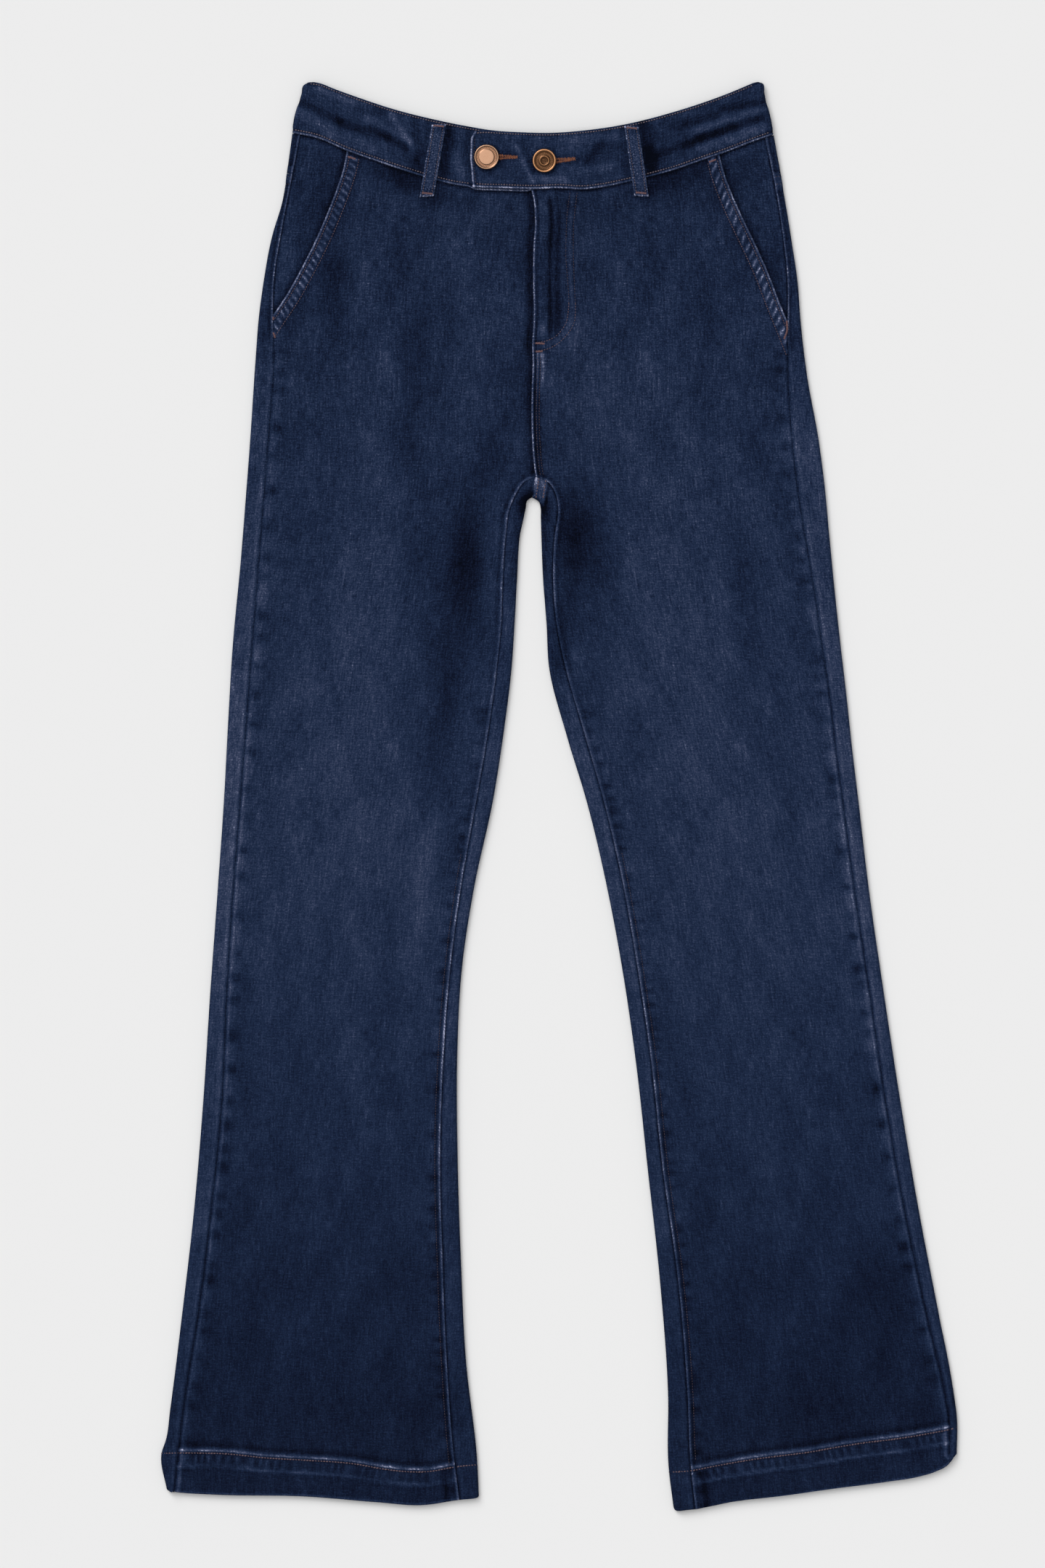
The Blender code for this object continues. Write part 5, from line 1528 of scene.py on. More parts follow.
def make_facing(leg, seed):
    inward = -leg.sign
    top = seam_y(column(leg.side, "outseam", leg.side[0].y)) - BAND_GAP
    low = leg.pocket_end + FACING_TAIL
    rows = []
    for part in np.linspace(0, 1, FACING_ROWS):
        y = lerp(top, low, part)
        mouth_y = lerp(leg.mouth[0].y - GAP, leg.mouth[-1].y + 1, part)
        start = outseam_x(leg, y) + inward * GAP / 2
        end = column(leg.mouth, "x", mouth_y) + inward * FACING_UNDERLAP
        width = abs(end - start)
        steps = np.array([0, 0.4, 0.8, 1.2, 1.7, 2.3, 3.1, 4.2]) * min(1, width / 12)
        rest = np.linspace(steps[-1] / width, 1, FACING_COLUMNS)[1:]
        xs = lerp(start, end, np.concatenate([steps / width, rest]))
        share = (xs - start) / (end - start)
        straight = lerp(y, mouth_y, share)
        bow = (seam_y(xs) - BAND_GAP - lerp(top, leg.mouth[0].y - GAP, share)) * (1 - part) ** 2
        rows.append(np.column_stack([xs, straight + bow]))
    plan = np.array(rows)
    x, y = plan[..., 0], plan[..., 1]
    relief = Relief(x, y)
    add_tones(relief, leg)
    outseam, _, along = measure(x, y, OUTSEAM[leg.name])
    # The outseam's gap is darkened with painted shade.
    relief.ridges(outseam, 1, (0, 1.0, -0.35, -0.3), (2.6, 1.3, 0.1, 0.03))
    relief.soften(bumps(along, 16, 4, seed) * ridge(outseam, 5, 4), -0.2, -0.06)
    mouth = measure(x, y, MOUTH[leg.name])[0]
    # The mouth's edge casts a painted shadow on the facing.
    relief.ridges(mouth, 1, (0, 2.6, 0, -0.22), (0, 8, 0, -0.06))
    below = seam_y(x) - y
    # The band's ledge casts a painted shadow below it.
    relief.ridges(below, 1, (0, 1.8, -0.1, -0.24), (6, 3.5, 0.1, 0.04))
    grid = np.dstack([plan, top_height(x, y)])
    return cloth(f"denim_facing_{leg.name}", grid, relief, leg_grain(leg, x, y), CLOTH, DENIM)


for leg, seed in ((RIGHT, 500), (LEFT, 520)):
    make_facing(leg, seed)

# %% [markdown]
# ## Waistband
#
# The band is two layers of denim, curved to the waist. Each half runs from its front end over the side
# fold to the centre back. Its lower edge is a rubbed ledge that stands on the fronts, and the left half
# ends in a tab that laps over the right one.

# %% Waistband halves
BAND_WIDTH = 43.0
LEDGE_STEPS = [0, 0.35, 0.7, 1.05, 1.4, 1.8, 2.2, 2.6, 3.0, 3.4, 3.9, 4.6, 5.6]
TOP_STEPS = [0, 0.4, 0.8, 1.2, 1.6, 2.0, 2.4, 2.9, 3.5, 4.4]
BAND_MIDDLE_ROWS = 19
BAND_END_STEPS = [0, 0.35, 0.7, 1.1, 1.6, 2.2, 3.0]
BAND_FRONT_COLUMNS = 104
BAND_BACK_COLUMNS = 60
BAND_ROW = 2.9
BAND_TOP_ROW = 1.7
TAB_ROW = 2.6


def band_grid(leg):
    right = leg.sign < 0
    side = RIGHT_BAND_SIDE if right else LEFT_BAND_SIDE
    rows = []
    for share in across_shares(BAND_WIDTH, LEDGE_STEPS, TOP_STEPS, BAND_MIDDLE_ROWS):
        start = EXTENSION_END if right else column(TAB_END, "x", share, "share")
        edge_x = column(side, "x", share, "share")
        edge_y = lerp(seam_y(edge_x), band_top_y(edge_x), share)
        outward = unit(np.array([leg.sign, BAND_SIDE_LEAN]))
        arc = fold_arc(np.array([edge_x, edge_y]), outward, BACK_BAND_FLOOR, BAND_HEIGHT, True)
        arc[:, 1] = lerp(seam_y(arc[:, 0], leg.sign), band_top_y(arc[:, 0], leg.sign), share)
        width = abs(arc[0, 0] - start)
        steps = np.array(BAND_END_STEPS) / width
        columns = np.concatenate([steps, np.linspace(steps[-1], 1, BAND_FRONT_COLUMNS)[1:-1]])
        xs = lerp(start, arc[0, 0], columns)
        ys = lerp(seam_y(xs, leg.sign), band_top_y(xs, leg.sign), share)
        rise = 0 * xs
        if not right:
            rise = (TAB_HEIGHT - BAND_HEIGHT) * ease((TAB_RAMP_END - xs) / (TAB_RAMP_END - TAB_FLAT_END))
        front = np.column_stack([xs, ys, BAND_HEIGHT + rise])
        back_x = lerp(arc[-1, 0], CENTRE_BACK + leg.sign * GAP, np.linspace(0, 1, BAND_BACK_COLUMNS)[1:])
        back_y = lerp(seam_y(back_x), band_top_y(back_x), share)
        back = np.column_stack([back_x, back_y, np.full_like(back_x, BACK_BAND_FLOOR)])
        rows.append(np.vstack([front, arc, back]))
    return np.array(rows), len(front)


def make_band(leg, seed):
    grid, fronts = band_grid(leg)
    x, y = grid[..., 0], grid[..., 1]
    up = np.broadcast_to(np.interp(np.arange(x.shape[1]), [fronts, fronts + FOLD_STEPS], [1, 0]), x.shape)
    above = y - seam_y(x, leg.sign)
    under_top = band_top_y(x, leg.sign) - y
    relief = Relief(x, y)
    along = x + 260
    relief.wear += np.interp(x, [-210, -90, -20, 60, 170], [-0.01, -0.01, 0.03, -0.02, -0.06])
    # The band's creases are painted: darker in their troughs as shade, paler on their crests as light.
    creased = crease_height(x, y, BAND_CREASES) * up
    mirrored = crease_height(-42 - x, y, BAND_CREASES) * (1 - up)
    relief.soften(creased + mirrored, 1.0, 0.58)
    relief.lift = np.where(up < 0.5, np.minimum(relief.lift, 0.1), relief.lift)
    uneven = 0.85 + 0.15 * wander(along, 7, seed)
    tab = ease((x + 72) / 4) * ease((2 - x) / 30) * up
    relief.worn_edge(above, along, (0.85 + 0.25 * tab) * ridge(above, 0.9, 0.95) * uneven, 0.15)
    relief.lift -= 0.5 * np.clip(1 - above / 1.0, 0, 1) ** 2
    relief.soften(ridge(above, 1.95, 0.5), -0.15, -0.16)
    relief.thread_row(above - BAND_ROW)
    relief.soften(ridge(above, 5.5, 1.6), 0.15, 0.03)
    puckers = bumps(along + above, 9, 2.4, seed + 1)
    relief.soften(puckers * ridge(above, 7.5, 2.8), -0.15, -0.05)
    relief.thread_row(under_top - BAND_TOP_ROW)
    relief.soften(ridge(under_top, 0.6, 0.6), 0, 0.05)
    relief.lift -= 0.6 * np.clip(1 - under_top / 1.3, 0, 1) ** 2
    relief.soften(ridge(under_top, 4.6, 1.6), 0.1, 0.03)
    if leg.sign > 0:
        end = x - column(TAB_END, "x", np.clip(above / BAND_WIDTH, 0, 1), "share")
        relief.soften(ridge(end, 0.9, 0.9) * up, 0.1, 0.48)
        relief.lift -= 0.6 * np.clip(1 - end / 1.1, 0, 1) ** 2
        relief.thread_row(end - TAB_ROW)
        for _, bx, by in BUTTONS:
            # The buttonhole's slit is darkened with painted shade.
            tail = path_through([(bx + 8, by), (bx + 16, by + 0.6), (bx + SATIN_END, by + 1.6)])
            relief.soften(ridge(measure(x, y, tail)[0], 0, 3.4) * up, 0, -0.2)
            # A painted shadow falls round each button, most to its lower right.
            shade = np.hypot(x - bx - 1.2, y - by + 1.2)
            relief.soften(ease(1 - (shade - 8) / 6) * up, 0, -0.2)
            halo = np.hypot(x - bx, y - by)
            relief.soften(ease(1 - np.abs(halo - 12.5) / 2.5) * up, 0.15, 0.03)
    else:
        # A painted shadow lies beside the end of the tab that laps over this half.
        relief.soften(ridge(x, TAB_END[2].x - 2, 4) * up, 0, -0.14)
    for loop in LOOPS[:2]:
        # Painted shadows lie on the band beside each front loop, deeper on its right.
        middle = lerp(loop.x_top, loop.x_low, (loop.y_top - y) / (loop.y_top - loop.y_low))
        relief.soften(ridge(x - middle, 8.3, 2.9) * up, -0.1, -0.27)
        relief.soften(ridge(x - middle, -7.8, 2.6) * up, -0.1, -0.13)
    return cloth(f"denim_waistband_{leg.name}", grid, relief, (along * MM, above * MM), BAND_CLOTH, DENIM)


BUTTONS = [("button_outer", -57.3, 502.5), ("button_centre", -12.0, 499.6)]
SATIN_END = 25.0
for leg, seed in ((RIGHT, 600), (LEFT, 620)):
    make_band(leg, seed)

# %% [markdown]
# ## Belt loops
#
# A loop is a folded strip, rubbed on both its edges, with a row of stitches inside each. The front ones
# arch over the band and step down onto the panel.

# %% Loops
LOOP_ROWS = 74
LOOP_COLUMNS = 25
LOOP_STITCHES = 3.7


def make_loop(loop, seed):
    leg = LEFT if loop.x_top > 0 else RIGHT
    rows = []
    across = np.linspace(-0.5, 0.5, LOOP_COLUMNS) * LOOP_WIDTH
    for share in np.linspace(0, 1, LOOP_ROWS):
        x = lerp(loop.x_top, loop.x_low, share) + across
        y = np.full(LOOP_COLUMNS, lerp(loop.y_top, loop.y_low, share)) - across * 0.06 * leg.sign
        z = LOOP_CLOTH
        if loop.on_top:
            panel = front_height(leg, x, y).max() + LAYER_GAP
            arch = LOOP_ARCH * math.sin(math.pi * min(share / LOOP_ARCH_END, 1))
            above_seam = y[0] - seam_y(x).min()
            z += lerp(panel, BAND_HEIGHT + GAP + arch, ease((above_seam + LOOP_STEP_START) / LOOP_STEP))
        rows.append(np.column_stack([x, y, np.full(LOOP_COLUMNS, z)]))
    grid = np.array(rows)
    x = np.broadcast_to(across, grid.shape[:2])
    length = math.hypot(loop.x_top - loop.x_low, loop.y_top - loop.y_low)
    along = np.broadcast_to(np.linspace(0, length, LOOP_ROWS)[:, None], x.shape)
    relief = Relief(grid[..., 0], grid[..., 1])
    inside = LOOP_WIDTH / 2 - np.abs(x)
    relief.lift -= 0.7 * np.clip(1 - inside / 1.3, 0, 1) ** 2
    relief.soften(ridge(inside, 0.7, 0.6), 0.05, 0.16 + 0.05 * wander(along, 5, seed))
    relief.thread_row(inside - (LOOP_WIDTH / 2 - LOOP_STITCHES), 0.7)
    ends = np.minimum(along, length - along)
    relief.lift -= 0.7 * np.clip(1 - ends / 1.3, 0, 1) ** 2
    relief.ridges(ends, 1, (0.8, 1.0, 0, 0.28), (4.0, 2.5, -0.1, -0.12))
    relief.soften(bumps(along + 30 * np.sign(x), 7, 2.2, seed) * ridge(inside, 1.5, 1.5), -0.1, -0.08)
    relief.wear += 0.03 * wander(along, 12, seed + 2)
    if not loop.on_top:
        relief.lift *= 0  # pressed flat under the band, where it rests
    return cloth(
        loop.name.replace("belt_loop", "denim_loop"), grid, relief, (x * MM, along * MM), LOOP_CLOTH,
        LOOP_DENIM,
    )


for number, loop in enumerate(LOOPS):
    make_loop(loop, 700 + 10 * number)

# %% [markdown]
# ## Thread
#
# Topstitching is a chain of short, fat stitches along a path. One Geometry Nodes tree makes them all: it
# resamples a path at the stitch's pitch and sets a small rounded stitch on each point, lying along the
# path and standing on the cloth's normal. Turned across the path and packed close, the same stitch makes
# bar tacks and the satin edge of a buttonhole.

# %% Trees that set copies
SOCKETS = {float: "Float", int: "Int", tuple: "Vector", type(None): "Material"}


def new_tree(name, inputs):
    """A Geometry Nodes tree, and the sockets that bring its start and its named inputs."""
    tree = bpy.data.node_groups.new(name, "GeometryNodeTree")
    for way, label in (("INPUT", "Start"), ("OUTPUT", "Result")):
        tree.interface.new_socket(label, in_out=way, socket_type="NodeSocketGeometry")
    for label, value in {**inputs, "Material": None}.items():
        kind = "NodeSocket" + SOCKETS[type(value)]
        socket = tree.interface.new_socket(label, in_out="INPUT", socket_type=kind)
        if value is not None:
            socket.default_value = value
    return tree, add(tree, "NodeGroupInput").outputs


def set_copies(tree, points, copy, rotation, scale, material):
    """A copy on each point, made real and smooth, in its material."""
    placed = add(tree, "GeometryNodeInstanceOnPoints", {
        "Points": points, "Instance": copy, "Rotation": rotation, "Scale": scale,
    })
    real = add(tree, "GeometryNodeRealizeInstances", {0: placed})
    rounded = add(tree, "GeometryNodeSetShadeSmooth", {0: real})
    dressed = add(tree, "GeometryNodeSetMaterial", {0: rounded, "Material": material})
    add(tree, "NodeGroupOutput", {0: dressed})
    return tree


def grow(name, mesh, tree, material, inputs):
    """A piece that a tree grows on a mesh. Inputs are set by their sockets' identifiers."""
    made = new_object(name, mesh)
    maker = made.modifiers.new("maker", "NODES")
    maker.node_group = tree
    inputs = {**inputs, "Material": material}
    for item in tree.interface.items_tree:
        if item.in_out == "INPUT" and item.name in inputs:
            maker[item.identifier] = inputs[item.name]
    make_plain(made)
    made.data.materials.clear()
    made.data.materials.append(material)
    pieces[name] = made
    return made


# %% The stitch tree
def stitch_tree():
    tree, given = new_tree("row_of_stitches", {
        "Pitch": 0.0033, "Length": 0.0026, "Width": 0.0008, "Height": 0.0005, "Turn": 0.0, "Uneven": 0.12,
        "Seed": 0,
    })
    curve = add(tree, "GeometryNodeMeshToCurve", {"Mesh": given["Start"]})
    spaced = add(tree, "GeometryNodeResampleCurve", {"Curve": curve, "Length": given["Pitch"]}, mode="LENGTH")
    stitch = add(tree, "GeometryNodeMeshUVSphere", {"Segments": 7, "Rings": 5, "Radius": 0.5})
    up = add(tree, "GeometryNodeInputNamedAttribute", {"Name": "up"}, data_type="FLOAT_VECTOR")
    standing = add(tree, "FunctionNodeAlignRotationToVector", {"Vector": up}, axis="Z")
    tangent = add(tree, "GeometryNodeInputTangent")
    lying = {"Rotation": standing, "Vector": tangent}
    lying = add(tree, "FunctionNodeAlignRotationToVector", lying, axis="X", pivot_axis="Z")

    def drawn(low, high):
        """A random number between two, a new one for each stitch."""
        ends = {2: low, 3: high, "Seed": given["Seed"]}
        return add(tree, "FunctionNodeRandomValue", ends, data_type="FLOAT").outputs[1]

    tilt = drawn(maths(tree, "MULTIPLY", given["Uneven"], -1.0), given["Uneven"])
    about_up = add(tree, "ShaderNodeCombineXYZ", {2: maths(tree, "ADD", tilt, given["Turn"])})
    turned = add(tree, "FunctionNodeRotateRotation", {0: lying, 1: about_up}, rotation_space="LOCAL")
    size = add(tree, "ShaderNodeCombineXYZ", {0: given["Length"], 1: given["Width"], 2: given["Height"]})
    grown = drawn(maths(tree, "SUBTRACT", 1.0, given["Uneven"]), 1.0)
    scale = add(tree, "ShaderNodeVectorMath", {0: size, "Scale": grown}, operation="SCALE")
    return set_copies(tree, spaced, stitch, turned, scale, given["Material"])


STITCHES = stitch_tree()
print("stitch tree", len(STITCHES.nodes), "nodes")

# %% [markdown]
# A path is drawn in plan and dropped onto the cloth: a ray finds the surface and its normal at each
# point. Where the ray misses, as at an edge, the path breaks and goes on beyond.

# %% Laying a path on cloth
RAY_START = 0.05
SUNK = 0.05
SUNK_UNDER = 0.22


def lay(line, target, under):
    """The line's points on the cloth and the cloth's normals there, in runs without gaps."""
    sink = SUNK_UNDER if under else SUNK
    height = -RAY_START if under else RAY_START
    direction = (0, 0, 1) if under else (0, 0, -1)
    runs, run = [], []
    for x, y in line * MM:
        hit, place, normal, _ = target.ray_cast((x, y, height), direction)
        if hit:
            run.append((np.array(place) - np.array(normal) * sink * MM, tuple(normal)))
        elif run:
            runs.append(run)
            run = []
    runs.append(run)
    return [part for part in runs if len(part) > 1]


def sew(name, rows, material, seed, **sizes):
    """One piece of thread from several rows of (line, cloth, under)."""
    runs = [run for row in rows for run in lay(*row)]
    places, ups, edges = [], [], []
    for run in runs:
        edges += [(len(places) + k, len(places) + k + 1) for k in range(len(run) - 1)]
        places += [tuple(place) for place, _ in run]
        ups += [up for _, up in run]
    mesh = bpy.data.meshes.new(name)
    mesh.from_pydata(places, edges, [])
    layer = mesh.attributes.new("up", "FLOAT_VECTOR", "POINT")
    layer.data.foreach_set("vector", np.array(ups, np.float32).ravel())
    made = grow(name, mesh, STITCHES, material, {"Seed": seed, **sizes})
    print(f"{name}: {len(rows)} rows, {len(made.data.polygons)} faces")
    return made


bpy.context.view_layer.update()
front_r, front_l = pieces["denim_front_right"], pieces["denim_front_left"]
back_r, back_l = pieces["denim_back_right"], pieces["denim_back_left"]
band_r, band_l = pieces["denim_waistband_right"], pieces["denim_waistband_left"]


# %% Rows of topstitching on the front
LEVEL_LINE_STEP = 1.5


def level_line(rule, start, end):
    xs = np.arange(start, end, LEVEL_LINE_STEP)
    return np.stack([xs, rule(xs)], axis=-1)


band_rows = [
    (level_line(lambda x: seam_y(x, -1) + BAND_ROW, -207, -71), band_r, False),
    (level_line(lambda x: seam_y(x) + BAND_ROW, -64.5, 165), band_l, False),
    (level_line(lambda x: band_top_y(x, -1) - BAND_TOP_ROW, -195, -40), band_r, False),
    (level_line(lambda x: band_top_y(x, 1) - BAND_TOP_ROW, -64, 151), band_l, False),
    (level_line(lambda x: seam_y(x) + BAND_ROW, -206, 164), band_r, True),
    (level_line(lambda x: band_top_y(x) - BAND_TOP_ROW, -193, 151), band_r, True),
    (level_line(lambda x: seam_y(x) + BAND_ROW, -20, 164), band_l, True),
    (level_line(lambda x: band_top_y(x) - BAND_TOP_ROW, -20, 146), band_l, True),
]
thread_size = {"Pitch": 0.0021, "Length": 0.0018, "Width": 0.0011, "Height": 0.0007, "Uneven": 0.25}
sew("thread_waistband", band_rows, TAN_THREAD, 11, **thread_size)

hem_rows = [(HEM_ROW["right"], front_r, False), (HEM_ROW["left"], front_l, False)]
hem_rows += [(HEM_ROW["right"], back_r, False), (HEM_ROW["left"], back_l, False)]
hem_rows += [(HEM_ROW["right"], back_r, True), (HEM_ROW["left"], back_l, True)]
for row in (2.6, 8.2):
    hem_rows.append((path_through([(-18.9 + row, 250), (-21.0 + row, 236)], 1.0), back_l, False))
hem_size = {"Pitch": 0.0022, "Length": 0.0024, "Width": 0.0014, "Height": 0.0008, "Uneven": 0.35}
sew("thread_hems", hem_rows, RUST_THREAD, 12, **hem_size)

pocket_rows = []
for leg, target in ((RIGHT, front_r), (LEFT, front_l)):
    mouth = fine_line(leg.mouth, step=1.5, start=leg.mouth[0].y - 5, end=leg.pocket_end - 22)
    for row in POCKET_ROWS:
        line = beside(mouth, -leg.sign * row)
        inside = (line[:, 0] - outseam_x(leg, line[:, 1])) * -leg.sign > 1.2
        pocket_rows.append((line[inside], target, False))
sew("thread_pockets", pocket_rows, RUST_THREAD, 13, **{**thread_size, "Width": 0.0008})

fly_rows = [(row[row[:, 1] < 388], front_l, False) for row in (FLY_INNER, FLY_OUTER)]
sew("thread_fly", fly_rows, RUST_THREAD, 14, **{**thread_size, "Width": 0.0008})

rise = fine_line(FLY_EDGE, step=1.5, start=346, end=254)
inseam_rows = [(rise + np.array([row, 0]), front_l, False) for row in RISE_ROWS]
inseam_rows += [(row[row[:, 1] > 388], front_l, False) for row in (FLY_INNER, FLY_OUTER)]
inseam_rows.append((path_through([(-66.4, 516), (-67.3, 505), (-67.2, 495), (-65.8, 483)]), band_l, False))
for leg, target in ((RIGHT, front_r), (LEFT, front_l)):
    levels = INSEAM[leg.name][:, 1]
    lower = INSEAM[leg.name][(levels < INSEAM_ROW_START) & (levels > INSEAM_ROW_END)]
    inseam_rows.append((beside(lower[::3], leg.sign * INSEAM_ROW), target, False))
centre_back = np.stack([np.full(110, CENTRE_BACK - 3.2), np.linspace(412, 244, 110)], axis=-1)
inseam_rows.append((centre_back, back_r, True))
for leg, target in ((RIGHT, back_r), (LEFT, back_l)):
    for row in (2.5, 8.5):
        outer = column(leg.side, "outseam", YOKE_SIDE - row)
        edge = column(leg.side, "fold", YOKE_SIDE - row)
        xs = np.linspace(outer, edge, 8)
        inseam_rows.append((np.stack([xs, np.full(8, YOKE_SIDE - row)], axis=-1), target, False))
        xs = np.linspace(edge - leg.sign * 3, CENTRE_BACK + leg.sign * 2, 90)
        ys = np.linspace(YOKE_SIDE - row, YOKE_CENTRE - row, 90)
        inseam_rows.append((np.stack([xs, ys], axis=-1), target, True))
sew("thread_seams", inseam_rows, BROWN_THREAD, 15, **{**thread_size, "Width": 0.0006})

# %% Loops, tacks and buttonholes
loop_rows, tack_rows = [], []
for loop in LOOPS:
    target = pieces[loop.name.replace("belt_loop", "denim_loop")]
    top, low = np.array([loop.x_top, loop.y_top]), np.array([loop.x_low, loop.y_low])
    run = low - top
    long = np.hypot(*run)
    for side in (-LOOP_STITCHES, LOOP_STITCHES):
        share = np.linspace(2.5 / long, 1 - 2.5 / long, 40)[:, None]
        loop_rows.append((lerp(top, low, share) + np.array([side, 0]), target, not loop.on_top))
    for share in (1.4 / long, 1 - 2.8 / long):
        centre = lerp(top, low, share)
        across = np.linspace(-3.9, 3.9, 12)[:, None] * np.array([1, -0.1])
        tack_rows.append((centre + across, target, not loop.on_top))
sew("thread_loops", loop_rows, TAN_THREAD, 16, **{**thread_size, "Width": 0.00065})

tacks = [
    ([(-166, 503), (-160.5, 501.2)], front_r), ([(122.6, 500.6), (117.6, 498.8)], front_l),
    ([(-18.6, 356.6), (-12.0, 356.2)], front_l), ([(-18.4, 350.0), (-13.5, 350.2)], front_l),
]
tack_rows += [(path_through(ends), target, False) for ends, target in tacks]
tack_rows.append((path_through([(-224.6, 377), (-225.4, 368), (-223.4, 361)]), front_r, False))
tack_rows.append((path_through([(178.4, 374), (178.6, 366), (176.4, 360)]), front_l, False))
sew("bar_tacks", tack_rows, ROSE_THREAD, 17, Pitch=0.0005, Length=0.0020, Width=0.0006, Height=0.0008,
    Turn=math.radians(80))

satin_rows = []
for _, bx, by in BUTTONS:
    tail = 1.6 if bx > -30 else 0.0
    for side in (-1, 1):
        points = [(bx + 8.5, by + side * 1.4), (bx + 14, by + side * 0.9 + tail * 0.3)]
        points += [(bx + 20, by + side * 0.6 + tail * 0.7), (bx + SATIN_END - 1, by + side * 0.4 + tail)]
        satin_rows.append((path_through(points, 0.5), band_l, False))
sew("buttonhole_satin", satin_rows, RUSSET_THREAD, 18, Pitch=0.0008, Length=0.0029, Width=0.0008,
    Height=0.0010, Turn=math.radians(78), Uneven=0.42)

# %% [markdown]
# ## Buttons
#
# A shank button is a turned brass cap. Its section is drawn once and spun. A ring of fine beads between
# two turned rims is a common ornament, and Geometry Nodes set the beads round a circle.

# %% Button caps
BUTTON_STEPS = 96
SHANK_RADIUS = 2.7
CAP_RADIUS = {"button_outer": 9.85, "button_centre": 9.45}
CAP_PROFILES = {
    "button_outer": table(
        Turn,
        (0, 2.72), (0.3, 2.74), (0.56, 2.74), (0.6, 2.66), (0.635, 2.42), (0.68, 2.36), (0.8, 2.38),
        (0.84, 2.55), (0.88, 2.9), (0.92, 3.02), (0.96, 2.86), (0.99, 2.4), (1.0, 1.7), (0.98, 0.9),
        (0.92, 0.3), (0.8, 0),
    ),
    "button_centre": table(
        Turn,
        (0, 2.0), (0.14, 2.0), (0.26, 2.04), (0.3, 2.3), (0.34, 2.66), (0.38, 2.7), (0.42, 2.5),
        (0.46, 2.18), (0.7, 2.12), (0.75, 2.35), (0.79, 2.8), (0.85, 3.2), (0.91, 3.3), (0.96, 3.1),
        (0.99, 2.5), (1.0, 1.7), (0.98, 0.9), (0.92, 0.3), (0.8, 0),
    ),
}


def turned_cap(name, bx, by, material):
    under, low = TAB_HEIGHT + 0.3, BAND_HEIGHT + 0.3
    section = [(turn.radius * CAP_RADIUS[name], under + turn.height) for turn in CAP_PROFILES[name]]
    section += [(SHANK_RADIUS, under), (SHANK_RADIUS, low), (0, low)]
    angles = np.linspace(0, 2 * np.pi, BUTTON_STEPS, endpoint=False)
    places, rings = [], []
    for radius, height in section:
        if radius == 0:
            rings.append([len(places)] * BUTTON_STEPS)
            places.append((bx * MM, by * MM, height * MM))
            continue
        rings.append([len(places) + k for k in range(BUTTON_STEPS)])
        ring = [(bx + radius * np.cos(a), by + radius * np.sin(a), height) for a in angles]
        places += [tuple(MM * value for value in place) for place in ring]
    faces = []
    for upper, lower in zip(rings, rings[1:]):
        for k in range(BUTTON_STEPS):
            after = (k + 1) % BUTTON_STEPS
            corners = [upper[k], lower[k], lower[after], upper[after]]
            faces.append(list(dict.fromkeys(corners)))
    mesh = bpy.data.meshes.new(name + "_cap")
    mesh.from_pydata(places, [], faces)
    mesh.shade_smooth()
    mesh.set_sharp_from_angle(angle=math.radians(50))
    mesh.materials.append(material)
    pieces[mesh.name] = new_object(mesh.name, mesh)


# %% Beads
def bead_tree():
    tree, given = new_tree("ring_of_beads", {
        "Radius": 0.006, "Long": 0.0011, "Wide": 0.0006, "Tall": 0.0007, "Count": 36,
        "Centre": (0.0, 0.0, 0.0),
    })
    ring = add(tree, "GeometryNodeMeshCircle", {"Vertices": given["Count"], "Radius": given["Radius"]})
    moved = add(tree, "GeometryNodeTransform", {"Geometry": ring, "Translation": given["Centre"]})
    bead = add(tree, "GeometryNodeMeshUVSphere", {"Segments": 8, "Rings": 6, "Radius": 0.5})
    place = add(tree, "GeometryNodeInputPosition")
    out = add(tree, "ShaderNodeVectorMath", {0: place, 1: given["Centre"]}, operation="SUBTRACT")
    facing = add(tree, "FunctionNodeAlignRotationToVector", {"Vector": out}, axis="X", pivot_axis="Z")
    size = add(tree, "ShaderNodeCombineXYZ", {0: given["Long"], 1: given["Wide"], 2: given["Tall"]})
    return set_copies(tree, moved, bead, facing, size, given["Material"])


BEADS = bead_tree()


def ring_of_beads(name, bx, by, radius, height, count, length, width, material):
    centre = (bx * MM, by * MM, height * MM)
    mesh = bpy.data.meshes.new(name)
    mesh.from_pydata([centre], [], [])
    return grow(name, mesh, BEADS, material, {
        "Radius": radius * MM, "Long": length * MM, "Wide": width * MM, "Count": count, "Centre": centre,
    })


turned_cap("button_outer", *BUTTONS[0][1:], PALE_COPPER)
turned_cap("button_centre", *BUTTONS[1][1:], DARK_COPPER)
under = TAB_HEIGHT + 0.3
ring_of_beads("button_outer_beads", *BUTTONS[0][1:], 7.25, under + 2.42, 36, 1.15, 0.6, PALE_COPPER)
ring_of_beads("button_centre_beads", *BUTTONS[1][1:], 5.5, under + 2.45, 30, 1.6, 0.55, DARK_COPPER)
print("buttons", [name for name in pieces if name.startswith("button")])

# %% [markdown]
# ## Joining the frame
#
# Every piece rides on the garment's one body. Each cloth piece stands for its CAD node, which is hidden.
# The zip's strip keeps its own shape and only gets its woven tape.

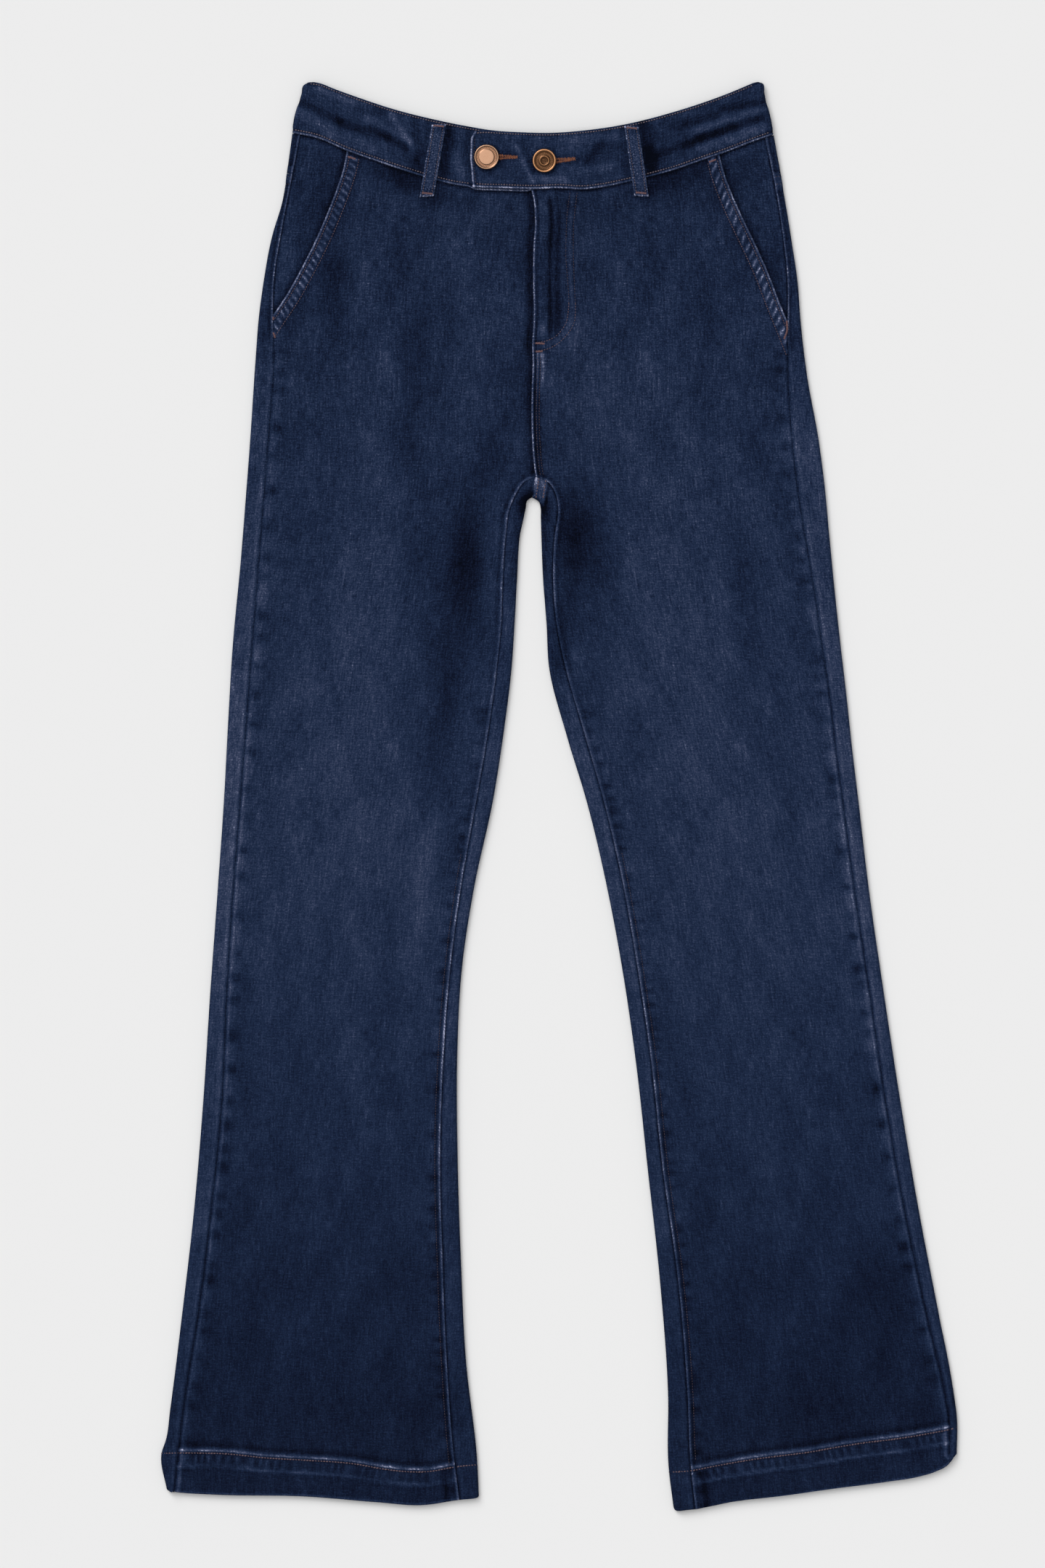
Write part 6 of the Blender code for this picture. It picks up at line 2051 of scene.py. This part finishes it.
# %% Bodies and nodes
CUTS = {
    "denim_front_right": ("front_right", 0.262, 1.066, "back_right"),
    "denim_front_left": ("front_left", 0.255, 1.062, "back_left"),
    "denim_back_right": ("back_right", 0.285, 1.052, "floor"),
    "denim_back_left": ("back_left", 0.285, 1.056, "floor"),
    "denim_yoke_right": ("back_yoke_right", 0.200, 0.095, "floor"),
    "denim_yoke_left": ("back_yoke_left", 0.200, 0.095, "floor"),
    "denim_facing_right": ("pocket_facing_right", 0.050, 0.145, "back_right"),
    "denim_facing_left": ("pocket_facing_left", 0.050, 0.145, "back_left"),
    "denim_waistband_right": ("waistband_right", 0.405, 0.056, "floor"),
    "denim_waistband_left": ("waistband_left", 0.430, 0.056, "floor"),
    "denim_loop_front_right": ("belt_loop_front_right", 0.0114, 0.060, "waistband_right"),
    "denim_loop_front_left": ("belt_loop_front_left", 0.0114, 0.058, "waistband_left"),
    "denim_loop_back_right": ("belt_loop_back_right", 0.0114, 0.057, "floor"),
    "denim_loop_back_centre": ("belt_loop_back_centre", 0.0114, 0.058, "floor"),
    "denim_loop_back_left": ("belt_loop_back_left", 0.0114, 0.057, "floor"),
}


for name, made in pieces.items():
    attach(made, "root")
for name, (node, width, length, below) in CUTS.items():
    made = pieces[name]
    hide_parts(node)
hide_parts("button_outer")
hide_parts("button_centre")
zip_strip = bpy.data.objects["zip"]
zip_strip.data.materials.clear()
zip_strip.data.materials.append(ZIP_TAPE)

# %% [markdown]
# ## Floor, light and camera
#
# The jeans lie on a pale, plain floor under soft light that comes from the top left. The camera looks
# straight down with a long lens.

# %% Floor and lights
FLOOR_SIZE = 9.0
FLOOR_DROP = -0.0002
mesh = bpy.data.meshes.new("floor")
half = FLOOR_SIZE / 2
corners = [(x, y, FLOOR_DROP) for x, y in ((-half, -half), (half, -half), (half, half), (-half, half))]
mesh.from_pydata(corners, [], [(0, 1, 2, 3)])
floor = new_object("floor", mesh)
paper, tree, shader, _ = new_material("pale_paper")
give(tree, shader, {"Base Color": linear("f0f0f0"), "Roughness": 1.0, "Specular IOR Level": 0.0})
mesh.materials.append(paper)

for name, energy, spread, turn in (("window", 1.15, 34, (-38, -34, 0)), ("overhead", 1.38, 62, (-8, -8, 0))):
    sun_data = bpy.data.lights.new(name, "SUN")
    sun_data.energy = energy
    sun_data.angle = math.radians(spread)
    new_object(name, sun_data).rotation_euler = [math.radians(angle) for angle in turn]
    print(name, "light", energy, "spread over", spread, "degrees")

world = bpy.data.worlds.new("room")
bpy.context.scene.world = world
world.use_nodes = True
sky = world.node_tree.nodes["Background"]
sky.inputs["Color"].default_value = (1.0, 1.0, 1.0, 1.0)
sky.inputs["Strength"].default_value = 0.30
bpy.context.scene.view_settings.view_transform = "Standard"
bpy.context.scene.view_settings.look = "None"

# %% Camera
CAMERA_X = -29.07
CAMERA_Y = 10.55
CAMERA_HEIGHT = 10264.0
camera_data = bpy.data.cameras.new("camera")
camera_data.lens = 300
camera_data.sensor_width = 36
camera_data.sensor_fit = "AUTO"
camera_data.clip_end = 50
camera = new_object("camera", camera_data)
camera.location = (CAMERA_X * MM, CAMERA_Y * MM, CAMERA_HEIGHT * MM)
bpy.context.scene.camera = camera
print("camera", camera_data.lens, "mm lens at", tuple(camera.location))
